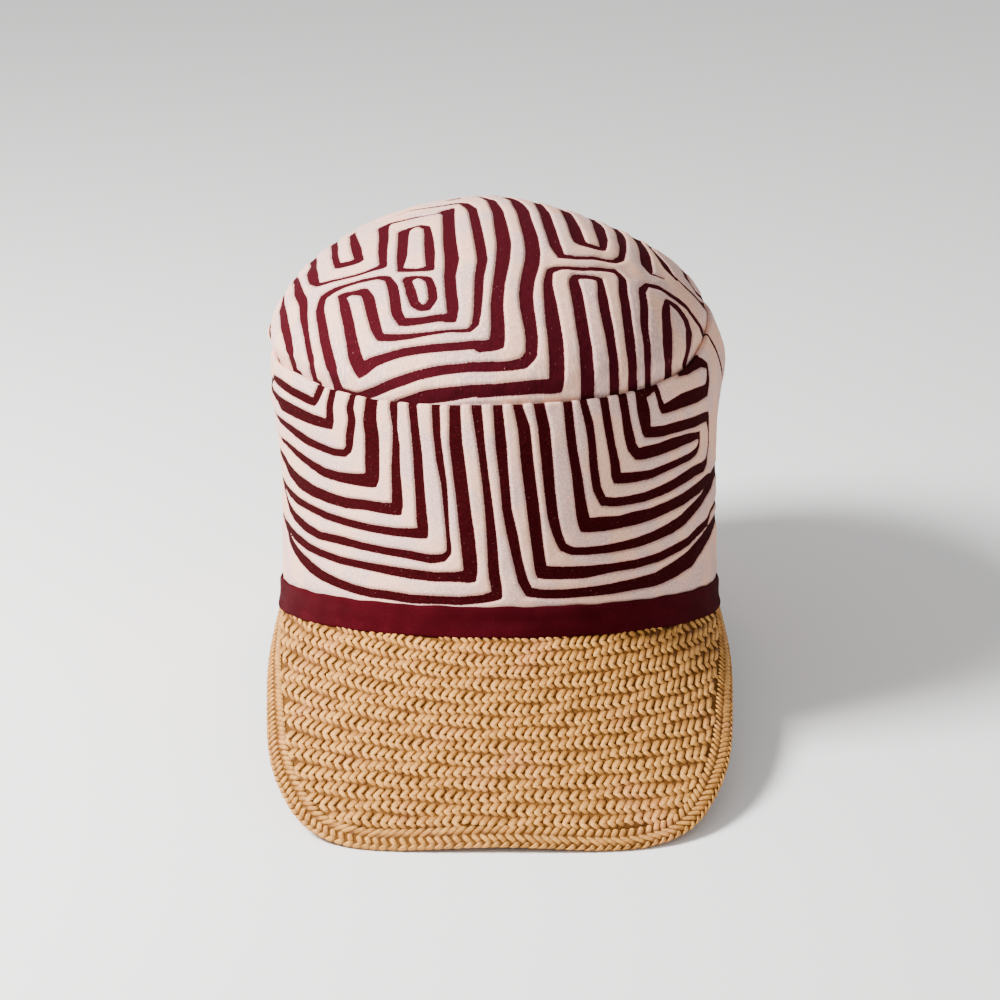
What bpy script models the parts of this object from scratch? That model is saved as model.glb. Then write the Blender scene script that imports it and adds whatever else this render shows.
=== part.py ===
"""A peaked cap at rest on a table: a tall cloth crown with a puffed top, a tape round
its base, and a woven straw peak with a braided border.

Metres, +Z up. Each piece is worked out in the cap's own frame, where the head opening
lies in the plane z = 0 and the front faces -Y. An empty then tilts the cap back until it
stands on the peak's front edge and on the back of its rim, with the floor at z = 0.
Angles go round the head from the front, positive towards +X, the wearer's left.
"""

import math
from typing import NamedTuple

import bmesh
import bpy
import numpy as np
from mathutils import Vector

# Head opening and cloth
HEAD_WIDTH = 0.1635
HEAD_DEPTH = 0.202
WALL_THICKNESS = 0.0020
TOP_THICKNESS = 0.0020
CLEARANCE = 0.0003

# Crown side: its height at the front, how much further up the seam climbs behind, and
# the share of its height from which it rolls inwards
FRONT_HEIGHT = 0.082
SEAM_RISE = 0.031
SIDE_FLARE = 0.0037
FRONT_FLARE = 0.0015
SIDE_LEAN = 0.0015
SEAM_ROLL = 0.0050
ROLL_FROM = 0.80
DENT_DEPTH = 0.0016

# Crown top
TOP_RISE = 0.0585
TOP_SWELL = 0.0045
TOP_LEAN = 0.0030
SEAM_ALLOWANCE = 0.0050

# Tape round the base
TAPE_HEIGHT = 0.0105
TAPE_THICKNESS = 0.0010

# Peak
PEAK_LENGTH = 0.0878
PEAK_SLOPE_DEG = 47.8
PEAK_SPREAD = 0.145
PEAK_BOW = 0.012
PEAK_CAMBER = 0.0015
PEAK_THICKNESS = 0.0022
BORDER_WIDTH = 0.0075
BORDER_THICKNESS = 0.0026

# How far the soft rim is pressed flat where it rests
RIM_PRESSED = 0.0009

# Mesh fineness
AROUND = 84
WALL_ROWS = 11
TOP_ROWS = 10
PEAK_COLUMNS = 52
PEAK_ROWS = 8


class SeamPlace(NamedTuple):
    """The seam between side and top: shares of SEAM_RISE, SEAM_ROLL and TOP_SWELL.

    Full is how square the top's shoulder is above that place: 1 is a plain quarter round.
    """

    angle_deg: float
    rise: float
    roll: float
    swell: float
    full: float


SEAM = (
    SeamPlace(-180, 1.00, 0.50, 0.40, 0.95),
    SeamPlace(-150, 0.92, 0.40, 0.60, 0.95),
    SeamPlace(-120, 0.66, 0.20, 0.90, 0.97),
    SeamPlace(-90, 0.44, 0.10, 1.00, 0.97),
    SeamPlace(-75, 0.37, 0.10, 1.00, 0.98),
    SeamPlace(-60, 0.28, 0.10, 0.90, 1.00),
    SeamPlace(-45, 0.13, 0.10, 0.80, 1.00),
    SeamPlace(-30, 0.03, 0.10, 0.70, 1.02),
    SeamPlace(0, 0.00, 0.10, 0.60, 1.02),
    SeamPlace(30, 0.08, 0.10, 0.55, 1.00),
    SeamPlace(45, 0.20, 0.20, 0.50, 0.95),
    SeamPlace(57, 0.36, 0.40, 0.40, 0.90),
    SeamPlace(66, 0.53, 0.60, 0.30, 0.86),
    SeamPlace(77, 0.75, 0.85, 0.25, 0.82),
    SeamPlace(90, 0.97, 1.00, 0.20, 0.78),
    SeamPlace(120, 1.08, 0.90, 0.20, 0.82),
    SeamPlace(150, 1.05, 0.70, 0.30, 0.90),
    SeamPlace(180, 1.00, 0.50, 0.40, 0.95),
)


class SideSection(NamedTuple):
    """A level of the crown side: shares of the flares and of SIDE_LEAN."""

    height: float
    flare: float
    lean: float


SIDE_SECTIONS = (
    SideSection(0.00, 0.00, 0.00),
    SideSection(0.30, -0.10, 0.00),
    SideSection(0.60, 0.05, 0.10),
    SideSection(0.75, 0.38, 0.35),
    SideSection(0.88, 0.85, 0.80),
    SideSection(1.00, 1.00, 1.00),
)


class SoftDent(NamedTuple):
    """A soft hollow (or a swelling, below zero) of the side: a share of DENT_DEPTH."""

    angle_deg: float
    height: float
    half_angle_deg: float
    half_height: float
    depth: float


SIDE_DENTS = (
    SoftDent(-82, 0.97, 9, 0.10, 1.0),
    SoftDent(-66, 0.80, 16, 0.22, -0.7),
    SoftDent(-40, 0.45, 15, 0.30, 0.5),
    SoftDent(-8, 0.55, 12, 0.35, -0.5),
    SoftDent(22, 0.50, 13, 0.30, 0.5),
    SoftDent(72, 0.62, 13, 0.25, 0.7),
    SoftDent(84, 0.86, 12, 0.12, -1.0),
    SoftDent(118, 0.70, 22, 0.30, 0.9),
    SoftDent(160, 0.45, 20, 0.35, -0.8),
    SoftDent(-160, 0.60, 20, 0.30, 0.9),
    SoftDent(-118, 0.50, 18, 0.30, -0.7),
)


class PeakCorner(NamedTuple):
    """A point of the peak's outline: where round the head, and what share down the peak."""

    angle_deg: float
    down: float


PEAK_OUTLINE = (
    PeakCorner(87.0, 0.000),
    PeakCorner(82.0, 0.200),
    PeakCorner(71.5, 0.410),
    PeakCorner(62.5, 0.630),
    PeakCorner(54.0, 0.780),
    PeakCorner(44.5, 0.910),
    PeakCorner(34.0, 0.980),
    PeakCorner(22.0, 1.000),
    PeakCorner(0.0, 0.982),
)


class BorderLine(NamedTuple):
    """A line along the border: shares of its width, from its rim, and of its thickness."""

    across: float
    thickness: float


BORDER_PROFILE = (
    BorderLine(0.00, 0.70),
    BorderLine(0.12, 1.00),
    BorderLine(0.50, 1.00),
    BorderLine(1.00, 0.85),
)


def half_sizes():
    """Half the width and half the depth over the outside of the crown's base."""
    return HEAD_WIDTH / 2 + WALL_THICKNESS, HEAD_DEPTH / 2 + WALL_THICKNESS


def peak_drop():
    return PEAK_LENGTH * math.sin(math.radians(PEAK_SLOPE_DEG))


def peak_reach():
    return PEAK_LENGTH * math.cos(math.radians(PEAK_SLOPE_DEG))


def column(rows, name):
    return np.array([getattr(row, name) for row in rows], float)


def smoothly(where, places, values):
    """A cubic through the values, whose slope at each place is the mean of both sides."""
    slopes = np.gradient(values, places)
    k = np.clip(np.searchsorted(places, where, side="right") - 1, 0, len(places) - 2)
    span = places[k + 1] - places[k]
    t = np.clip((where - places[k]) / span, 0.0, 1.0)
    start = (2 * t**3 - 3 * t**2 + 1) * values[k]
    end = (3 * t**2 - 2 * t**3) * values[k + 1]
    turn = (t**3 - 2 * t**2 + t) * slopes[k] + (t**3 - t**2) * slopes[k + 1]
    return start + end + span * turn


def of_seam(angle, name):
    return smoothly(np.degrees(angle), column(SEAM, "angle_deg"), column(SEAM, name))


def of_side(height, name):
    return smoothly(height, column(SIDE_SECTIONS, "height"), column(SIDE_SECTIONS, name))


def seam_height(angle):
    return FRONT_HEIGHT + SEAM_RISE * of_seam(angle, "rise")


def hem_height(angle):
    """The level, as a share of the side, that the top's seam allowance hangs down to."""
    return 1.0 - SEAM_ALLOWANCE / seam_height(angle)


def dents(angle, height):
    """The summed depth of the soft dents, each a bell over its angle and height."""
    depth = np.zeros(np.broadcast_shapes(np.shape(angle), np.shape(height)))
    for dent in SIDE_DENTS:
        turn = np.degrees(angle) - dent.angle_deg
        turn = (turn + 180.0) % 360.0 - 180.0
        away = (turn / dent.half_angle_deg) ** 2 + ((height - dent.height) / dent.half_height) ** 2
        depth = depth + dent.depth * np.exp(-away)
    return DENT_DEPTH * depth


def crown_side(angle, height):
    """The side's outer face, height going from 0 at the rim to 1 at the seam.

    An oval grows by the flare, leans by the lean, and rolls inwards near the seam.
    """
    half_width, half_depth = half_sizes()
    up_the_roll = np.clip((height - ROLL_FROM) / (1 - ROLL_FROM), 0, 1)
    rolled = SEAM_ROLL * of_seam(angle, "roll") * up_the_roll**2
    tape_share = TAPE_HEIGHT / FRONT_HEIGHT
    free = np.clip((height - tape_share) / tape_share, 0, 1)
    inward = rolled + free * dents(angle, height)
    flare = of_side(height, "flare")
    wide = half_width + SIDE_FLARE * flare - inward
    deep = half_depth + FRONT_FLARE * flare - inward
    x = wide * np.sin(angle) - SIDE_LEAN * of_side(height, "lean")
    y = -deep * np.cos(angle)
    return np.stack(np.broadcast_arrays(x, y, seam_height(angle) * height), -1)


def crown_top(angle, turn):
    """The top's outer face: turn goes from 0 at the seam to a quarter turn at the crown.

    Each point moves in from the seam towards the crown by the cosine of the turn and up
    by its sine, and the cloth swells out just above the seam.
    """
    start = offset_side(angle, 1.0, WALL_THICKNESS + CLEARANCE)
    power = 1 / of_seam(angle, "full")
    in_share = np.clip(np.cos(turn), 0, 1) ** power
    up_share = np.sin(turn) ** power
    middle = np.array([-TOP_LEAN, 0.0, 0.0])
    climbed = up_share * TOP_RISE
    lifted = np.clip((climbed - WALL_THICKNESS / 2) / (4 * WALL_THICKNESS), 0, 1)
    swell = TOP_SWELL * of_seam(angle, "swell") * lifted**2 * (3 - 2 * lifted) * in_share
    outward = np.stack(np.broadcast_arrays(np.sin(angle), -np.cos(angle), 0 * angle), -1)
    flat = middle + (start - middle) * in_share[..., None] + outward * swell[..., None]
    mean_height = FRONT_HEIGHT + SEAM_RISE / 2
    blend = 1 - in_share**2
    z = start[..., 2] * (1 - blend) + mean_height * blend + climbed
    return np.concatenate([flat[..., :2], z[..., None]], -1)


def offset_side(angle, height, depth):
    """A point inside the crown side, at this depth under its outer face."""
    step = 1e-4
    across = crown_side(angle + step, height) - crown_side(angle - step, height)
    below = np.minimum(height, 1.0 - step)
    up = crown_side(angle, below + step) - crown_side(angle, below)
    return crown_side(angle, height) - depth * unit(np.cross(across, up))


def peak_face(angle, down):
    """The peak's upper face: straight down each column, from under the tape to the front.

    Columns start at their angle round the head and spread as they go down. The front edge
    is bowed, and a low camber rounds the slope.
    """
    half_width, half_depth = half_sizes()
    proud = TAPE_THICKNESS + CLEARANCE
    spread = 1 + PEAK_SPREAD * down
    x = (half_width + proud) * np.sin(angle) * spread
    root_y = -(half_depth + proud) * np.cos(angle)
    front_y = -(half_depth + proud) - peak_reach() + PEAK_BOW * np.sin(angle) ** 2
    camber = 4 * PEAK_CAMBER * down * (1 - down)
    slope = math.radians(PEAK_SLOPE_DEG)
    y = root_y * (1 - down) + front_y * down - camber * math.sin(slope)
    z = -CLEARANCE - peak_drop() * down + camber * math.cos(slope)
    return np.stack(np.broadcast_arrays(x, y, z), -1)


def unit(vectors):
    return vectors / np.linalg.norm(vectors, axis=-1, keepdims=True)


def peak_slopes(angle, down):
    """How the upper face moves with angle and with down, and its outward normal."""
    step = 1e-4
    by_angle = (peak_face(angle + step, down) - peak_face(angle - step, down)) / (2 * step)
    by_down = (peak_face(angle, down + step) - peak_face(angle, down - step)) / (2 * step)
    return by_angle, by_down, unit(np.cross(by_down, by_angle))


def evenly(path, count):
    """The same path with this many points, evenly spaced along its length on the peak."""
    solid = peak_face(path[:, 0], path[:, 1])
    steps = np.linalg.norm(np.diff(solid, axis=0), axis=1)
    along = np.concatenate([[0.0], np.cumsum(steps)])
    wanted = np.linspace(0.0, along[-1], count)
    return np.stack([np.interp(wanted, along, path[:, k]) for k in (0, 1)], -1)


def peak_outline(count, inset):
    """Angle and down along the free edge, moved in over the face by the inset."""
    rows = list(PEAK_OUTLINE)
    angles = np.radians([row.angle_deg for row in rows] + [-row.angle_deg for row in rows[-2::-1]])
    downs = np.array([row.down for row in rows] + [row.down for row in rows[-2::-1]])
    knots = np.arange(len(angles), dtype=float)
    fine = np.linspace(0, knots[-1], 20 * len(knots))
    path = np.stack([smoothly(fine, knots, angles), smoothly(fine, knots, downs)], -1)
    path = evenly(path, 4 * count)
    for _ in range(4):
        by_angle, by_down, normal = peak_slopes(path[:, 0], path[:, 1])
        along = unit(np.gradient(peak_face(path[:, 0], path[:, 1]), axis=0))
        inward = unit(np.cross(along, normal))
        frame = np.stack([by_angle, by_down], -1)
        moved = np.linalg.pinv(frame) @ (inward * inset / 4)[..., None]
        path = path + moved[..., 0]
    path[:, 1] = np.maximum(path[:, 1], 0.0)
    return evenly(path, count)


def border_grid():
    """Angle, down and thickness over the border, in lines along it from its rim inwards."""
    lines = [peak_outline(PEAK_COLUMNS + 1, BORDER_WIDTH * row.across) for row in BORDER_PROFILE]
    grid = np.stack(lines)
    thickness = BORDER_THICKNESS * column(BORDER_PROFILE, "thickness")[:, None]
    return grid[..., 0], grid[..., 1], np.broadcast_to(thickness, grid.shape[:2])


def resting_tilt():
    """How far the cap leans back, so that its border and its pressed rim share one floor.

    Seen from the side, the line from the rim's back to a low point of the border falls by
    that point's own angle, and the floor lies RIM_PRESSED above the rim's back.
    """
    angle, down, thickness = border_grid()
    normal = peak_slopes(angle, down)[2]
    low = peak_face(angle, down) - thickness[..., None] * normal
    ahead, below = half_sizes()[1] - low[..., 1], -low[..., 2]
    pressed = np.arcsin(RIM_PRESSED / np.hypot(ahead, below))
    return float((np.arctan2(below, ahead) + pressed).max())


def pressed_flat(points):
    """Lifts what would reach through the floor onto it, as the soft rim gives way."""
    tilt = resting_tilt()
    up = np.array([0.0, -math.sin(tilt), math.cos(tilt)])
    floor = up @ np.array([0.0, half_sizes()[1], 0.0]) + RIM_PRESSED
    sunk = np.maximum(floor - points @ up, 0.0)
    return points + sunk[..., None] * up


def cloth_material(name, colour, roughness):
    material = bpy.data.materials.new(name)
    material.use_nodes = True
    shader = material.node_tree.nodes["Principled BSDF"]
    shader.inputs["Base Color"].default_value = (*colour, 1.0)
    shader.inputs["Roughness"].default_value = roughness
    shader.inputs["Metallic"].default_value = 0.0
    material.diffuse_color = (*colour, 1.0)
    return material


def quads(rows, columns, wrap_rows, wrap_columns):
    """Corner numbers of the quads of a grid stored row by row."""
    r = np.arange(rows if wrap_rows else rows - 1)[:, None]
    c = np.arange(columns if wrap_columns else columns - 1)[None, :]
    next_r, next_c = (r + 1) % rows, (c + 1) % columns
    corners = (r * columns + c, r * columns + next_c, next_r * columns + next_c, next_r * columns + c)
    return np.stack(np.broadcast_arrays(*corners), -1).reshape(-1, 4)


def add_body(name, points, faces, material, holder):
    """A closed mesh object with its doubles merged and its faces turned outwards."""
    mesh = bpy.data.meshes.new(name)
    mesh.from_pydata(points.reshape(-1, 3).tolist(), [], [list(face) for face in faces])
    body = bmesh.new()
    body.from_mesh(mesh)
    bmesh.ops.remove_doubles(body, verts=body.verts, dist=1e-5)
    bmesh.ops.dissolve_degenerate(body, edges=body.edges, dist=1e-5)
    bmesh.ops.recalc_face_normals(body, faces=body.faces)
    body.to_mesh(mesh)
    body.free()
    mesh.shade_smooth()
    mesh.set_sharp_from_angle(angle=math.radians(50))
    mesh.materials.append(material)
    piece = bpy.data.objects.new(name, mesh)
    bpy.context.scene.collection.objects.link(piece)
    piece.parent = holder
    return piece


def round_the_head():
    return np.linspace(-math.pi, math.pi, AROUND, endpoint=False)


def build_crown_side(holder):
    """A cloth ring from the rim to the seam, with a rounded fold along the seam."""
    angle = round_the_head()[None, :]
    height = np.linspace(0.0, 1.0, WALL_ROWS)[:, None] * hem_height(angle)
    height = np.concatenate([height, 1.0 + 0 * angle])
    outer = crown_side(angle, height)
    inner = offset_side(angle, height[::-1], WALL_THICKNESS)
    top_in, top_out = inner[0], outer[-1]
    up = unit(outer[-1] - outer[-2])
    half = WALL_THICKNESS / 2
    middle = (top_in + top_out) / 2
    outward = unit(top_out - top_in)
    bend = np.radians([45.0, 90.0, 135.0])[:, None, None]
    fold = middle + half * (np.cos(bend) * outward + np.sin(bend) * up)
    rings = pressed_flat(np.concatenate([outer, fold, inner]))
    faces = quads(len(rings), AROUND, True, True)
    cotton = cloth_material("cotton side", (0.74, 0.66, 0.60), 0.9)
    return add_body("crown_side", rings, faces, cotton, holder)


def build_crown_top(holder):
    """A puffed cloth shell whose seam allowance hangs inside the crown side."""
    angle = round_the_head()[None, :]
    share = np.linspace(0.0, 1.0, TOP_ROWS)[:, None]
    turn = (math.pi / 2) * share**1.3
    dome = crown_top(angle + 0 * turn, turn + 0 * angle)[:-1]
    hem = offset_side(angle, hem_height(angle), WALL_THICKNESS + CLEARANCE)
    outer = np.concatenate([hem, dome])
    across = np.roll(outer, -1, axis=1) - np.roll(outer, 1, axis=1)
    climb = np.gradient(outer, axis=0)
    inner = outer - TOP_THICKNESS * unit(np.cross(across, climb))
    rings = np.concatenate([inner[::-1], outer])
    rim = AROUND * len(rings)
    crown = crown_top(np.array([0.0]), np.array([math.pi / 2]))[0]
    poles = np.array([crown - [0, 0, TOP_THICKNESS], crown])
    points = np.concatenate([rings.reshape(-1, 3), poles])
    around = np.arange(AROUND)
    after = (around + 1) % AROUND
    last = AROUND * (len(rings) - 1)
    fans = [(rim, int(b), int(a)) for a, b in zip(around, after)]
    fans += [(last + int(a), last + int(b), rim + 1) for a, b in zip(around, after)]
    faces = quads(len(rings), AROUND, False, True).tolist() + fans
    cotton = cloth_material("cotton top", (0.76, 0.68, 0.62), 0.9)
    return add_body("crown_top", points, faces, cotton, holder)


def build_tape(holder):
    """A woven tape round the base, laid on the crown side, its edges a little thinner."""
    angle = round_the_head()[None, :]
    level = np.array([0.0, 0.12, 0.88, 1.0])[:, None] * TAPE_HEIGHT / seam_height(angle)
    proud = np.array([0.7, 1.0, 1.0, 0.7])[:, None, None] * TAPE_THICKNESS
    outward = np.stack([np.sin(angle), -np.cos(angle), 0 * angle], -1)
    laid = offset_side(angle, level, -CLEARANCE)
    outer = laid + proud * outward
    rings = pressed_flat(np.concatenate([outer, laid[[3, 0]]]))
    faces = quads(len(rings), AROUND, True, True)
    return add_body("base_tape", rings, faces, cloth_material("tape", (0.10, 0.012, 0.03), 0.8), holder)


def slab(name, angle, down, thickness, material, holder):
    """A sheet over a grid of the peak's upper face, with this thickness under it."""
    normal = peak_slopes(angle, down)[2]
    upper = peak_face(angle, down)
    lower = upper - thickness[..., None] * normal
    rows, columns = angle.shape
    loops = np.concatenate([upper, lower[:, ::-1]], axis=1)
    faces = quads(rows, 2 * columns, False, True).tolist()
    for row in (0, rows - 1):
        first = row * 2 * columns
        faces += [
            (first + k, first + k + 1, first + 2 * columns - 2 - k, first + 2 * columns - 1 - k)
            for k in range(columns - 1)
        ]
    return add_body(name, loops, faces, material, holder)


def build_peak(holder):
    """The woven sheet between the tape and the border."""
    edge = peak_outline(PEAK_COLUMNS + 1, BORDER_WIDTH + CLEARANCE)
    ends = edge[[0, -1], 0]
    root = np.stack([np.linspace(ends[0], ends[1], PEAK_COLUMNS + 1), 0 * edge[:, 0]], -1)
    share = np.linspace(0.0, 1.0, PEAK_ROWS + 1)[:, None, None]
    grid = root * (1 - share) + edge * share
    thickness = np.full(grid.shape[:2], PEAK_THICKNESS)
    straw = cloth_material("straw", (0.52, 0.33, 0.16), 0.6)
    return slab("peak", grid[..., 0], grid[..., 1], thickness, straw, holder)


def build_border(holder):
    """The braided strip round the peak's free edge."""
    braid = cloth_material("straw braid", (0.50, 0.31, 0.14), 0.6)
    return slab("peak_border", *border_grid(), braid, holder)


def put_at_rest(holder, pieces):
    """Tilts the cap back onto the floor and centres its box over the origin."""
    holder.rotation_euler = (-resting_tilt(), 0.0, 0.0)
    bpy.context.view_layer.update()
    corners = [piece.matrix_world @ vertex.co for piece in pieces for vertex in piece.data.vertices]
    low = Vector([min(corner[k] for corner in corners) for k in range(3)])
    high = Vector([max(corner[k] for corner in corners) for k in range(3)])
    holder.location = (-(low.x + high.x) / 2, -(low.y + high.y) / 2, -low.z)
    bpy.context.view_layer.update()


def clear_scene():
    for item in list(bpy.data.objects):
        bpy.data.objects.remove(item, do_unlink=True)


def main():
    clear_scene()
    holder = bpy.data.objects.new("cap_at_rest", None)
    bpy.context.scene.collection.objects.link(holder)
    makers = (build_crown_side, build_crown_top, build_tape, build_peak, build_border)
    put_at_rest(holder, [make(holder) for make in makers])


main()
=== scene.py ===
# %% [markdown]
# # A peaked cap: cloth crown, straw peak
#
# The real cap has a tall cloth crown whose pattern is cut through a cream top layer to
# the burgundy cloth beneath, a herringbone tape round its base, and a peak woven from
# flat straw with a braided edge. Here each of these is a surface worked out with numpy,
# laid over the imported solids, and finished with procedural materials.

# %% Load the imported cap
import math

import bpy
import numpy as np
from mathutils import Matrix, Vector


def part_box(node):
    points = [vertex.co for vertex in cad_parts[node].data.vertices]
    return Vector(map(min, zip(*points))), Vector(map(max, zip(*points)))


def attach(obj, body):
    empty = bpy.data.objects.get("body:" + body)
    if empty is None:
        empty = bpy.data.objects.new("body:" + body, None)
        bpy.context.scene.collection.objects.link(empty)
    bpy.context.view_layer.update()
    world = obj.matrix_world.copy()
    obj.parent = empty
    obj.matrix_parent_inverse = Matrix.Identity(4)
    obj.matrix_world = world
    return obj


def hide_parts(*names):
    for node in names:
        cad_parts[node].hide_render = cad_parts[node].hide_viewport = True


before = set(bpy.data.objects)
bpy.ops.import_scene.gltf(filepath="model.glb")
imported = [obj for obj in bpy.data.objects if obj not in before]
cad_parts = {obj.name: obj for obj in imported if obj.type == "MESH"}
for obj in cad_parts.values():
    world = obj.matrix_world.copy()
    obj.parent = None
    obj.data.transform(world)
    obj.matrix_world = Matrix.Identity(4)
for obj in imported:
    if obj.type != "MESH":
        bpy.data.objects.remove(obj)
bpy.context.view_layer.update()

# %% [markdown]
# ## The cap's form
#
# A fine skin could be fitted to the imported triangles, but they are coarse and the skin
# would keep their corners. The cap's form follows from a few sizes and short tables, so
# they are written again and the same formulas are evaluated on much finer grids. All of
# it is in the cap's own frame: the head opening lies in z = 0 and the front faces -Y.

# %% The cap's sizes in metres
HEAD_WIDTH = 0.1635
HEAD_DEPTH = 0.202
WALL_THICKNESS = 0.0020
TOP_THICKNESS = 0.0020
CLEARANCE = 0.0003
FRONT_HEIGHT = 0.082
SEAM_RISE = 0.031
SIDE_FLARE = 0.0037
FRONT_FLARE = 0.0015
SIDE_LEAN = 0.0015
SEAM_ROLL = 0.0050
ROLL_FROM = 0.80
DENT_DEPTH = 0.0016
TOP_RISE = 0.0585
TOP_SWELL = 0.0045
TOP_LEAN = 0.0030
SEAM_ALLOWANCE = 0.0050
TAPE_HEIGHT = 0.0105
TAPE_THICKNESS = 0.0010
PEAK_LENGTH = 0.0878
PEAK_SLOPE = math.radians(47.8)
PEAK_SPREAD = 0.145
PEAK_BOW = 0.012
PEAK_CAMBER = 0.0015
PEAK_THICKNESS = 0.0022
BORDER_WIDTH = 0.0075
BORDER_THICKNESS = 0.0026
RIM_PRESSED = 0.0009
MM = 0.001
HALF_WIDTH = HEAD_WIDTH / 2 + WALL_THICKNESS
HALF_DEPTH = HEAD_DEPTH / 2 + WALL_THICKNESS
PEAK_DROP = PEAK_LENGTH * math.sin(PEAK_SLOPE)
PEAK_REACH = PEAK_LENGTH * math.cos(PEAK_SLOPE)
print("the peak falls", round(PEAK_DROP / MM, 1), "and reaches", round(PEAK_REACH / MM, 1), "mm")


# %% The seam, the side's sections and its soft dents
def table(names, *rows):
    """The columns of the rows, by name."""
    return dict(zip(names.split(), np.array(rows, float).T))


# Shares of SEAM_RISE, SEAM_ROLL and TOP_SWELL round the seam, and how full the top's curve is
SEAM = table(
    "degrees rise roll swell full",
    (-180, 1.00, 0.50, 0.40, 0.95),
    (-150, 0.92, 0.40, 0.60, 0.95),
    (-120, 0.66, 0.20, 0.90, 0.97),
    (-90, 0.44, 0.10, 1.00, 0.97),
    (-75, 0.37, 0.10, 1.00, 0.98),
    (-60, 0.28, 0.10, 0.90, 1.00),
    (-45, 0.13, 0.10, 0.80, 1.00),
    (-30, 0.03, 0.10, 0.70, 1.02),
    (0, 0.00, 0.10, 0.60, 1.02),
    (30, 0.08, 0.10, 0.55, 1.00),
    (45, 0.20, 0.20, 0.50, 0.95),
    (57, 0.36, 0.40, 0.40, 0.90),
    (66, 0.53, 0.60, 0.30, 0.86),
    (77, 0.75, 0.85, 0.25, 0.82),
    (90, 0.97, 1.00, 0.20, 0.78),
    (120, 1.08, 0.90, 0.20, 0.82),
    (150, 1.05, 0.70, 0.30, 0.90),
    (180, 1.00, 0.50, 0.40, 0.95),
)

# Shares of the flares and of SIDE_LEAN up the side
SIDE_SECTIONS = table(
    "height flare lean",
    (0.00, 0.00, 0.00),
    (0.30, -0.10, 0.00),
    (0.60, 0.05, 0.10),
    (0.75, 0.38, 0.35),
    (0.88, 0.85, 0.80),
    (1.00, 1.00, 1.00),
)

# Degrees round, height, half of each, and the share of DENT_DEPTH: below zero it is a swelling
SIDE_DENTS = (
    (-82, 0.97, 9, 0.10, 1.0),
    (-66, 0.80, 16, 0.22, -0.7),
    (-40, 0.45, 15, 0.30, 0.5),
    (-8, 0.55, 12, 0.35, -0.5),
    (22, 0.50, 13, 0.30, 0.5),
    (72, 0.62, 13, 0.25, 0.7),
    (84, 0.86, 12, 0.12, -1.0),
    (118, 0.70, 22, 0.30, 0.9),
    (160, 0.45, 20, 0.35, -0.8),
    (-160, 0.60, 20, 0.30, 0.9),
    (-118, 0.50, 18, 0.30, -0.7),
)


# %% Smooth curves through a table
def vectors(*columns):
    """The columns side by side, as the last axis of one array."""
    return np.stack(np.broadcast_arrays(*columns), -1)


def smoothly(where, places, values):
    """A cubic through the values, whose slope at each place is the mean of both sides."""
    slopes = np.gradient(values, places)
    k = np.clip(np.searchsorted(places, where, side="right") - 1, 0, len(places) - 2)
    span = places[k + 1] - places[k]
    t = np.clip((where - places[k]) / span, 0.0, 1.0)
    start = (2 * t**3 - 3 * t**2 + 1) * values[k]
    end = (3 * t**2 - 2 * t**3) * values[k + 1]
    turn = (t**3 - 2 * t**2 + t) * slopes[k] + (t**3 - t**2) * slopes[k + 1]
    return start + end + span * turn


def ease(value):
    """Goes from 0 to 1 as the value does, level at both ends: 3 v squared less 2 v cubed."""
    value = np.clip(value, 0, 1)
    return value**2 * (3 - 2 * value)


def unit(arrows):
    """Arrows of length 1 the same way; one of no length stays as it is."""
    return arrows / np.maximum(np.linalg.norm(arrows, axis=-1, keepdims=True), 1e-30)


def of_seam(angle, name):
    """A column of the seam's table at an angle."""
    return smoothly(np.degrees(angle), SEAM["degrees"], SEAM[name])


def of_side(height, name):
    """A column of the side's table at a height."""
    return smoothly(height, SIDE_SECTIONS["height"], SIDE_SECTIONS[name])


def seam_height(angle):
    """The front's height, with a share of the rise."""
    return FRONT_HEIGHT + SEAM_RISE * of_seam(angle, "rise")


# %% The crown side
def dents(angle, height):
    """The summed depth of the soft dents, each a bell over its angle and height."""
    depth = np.zeros(np.broadcast_shapes(np.shape(angle), np.shape(height)))
    for degrees, level, half_turn, half_height, share in SIDE_DENTS:
        turn = (np.degrees(angle) - degrees + 180.0) % 360.0 - 180.0
        away = (turn / half_turn) ** 2 + ((height - level) / half_height) ** 2
        depth = depth + share * np.exp(-away)
    return DENT_DEPTH * depth


def crown_side(angle, height):
    """The side's outer face: an oval that flares, leans and rolls inwards near the seam.

    The angle goes round from the front, and height from 0 at the rim to 1 at the seam.
    """
    up_the_roll = np.clip((height - ROLL_FROM) / (1 - ROLL_FROM), 0, 1)
    rolled = SEAM_ROLL * of_seam(angle, "roll") * up_the_roll**2
    tape_share = TAPE_HEIGHT / FRONT_HEIGHT
    free = np.clip((height - tape_share) / tape_share, 0, 1)
    inward = rolled + free * dents(angle, height)
    flare = of_side(height, "flare")
    x = (HALF_WIDTH + SIDE_FLARE * flare - inward) * np.sin(angle) - SIDE_LEAN * of_side(height, "lean")
    y = -(HALF_DEPTH + FRONT_FLARE * flare - inward) * np.cos(angle)
    return vectors(x, y, seam_height(angle) * height)


def offset_side(angle, height, depth):
    """A point inside the crown side, at this depth under its outer face."""
    step = 1e-4
    across = crown_side(angle + step, height) - crown_side(angle - step, height)
    below = np.minimum(height, 1.0 - step)
    up = crown_side(angle, below + step) - crown_side(angle, below)
    return crown_side(angle, height) - depth * unit(np.cross(across, up))


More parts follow.
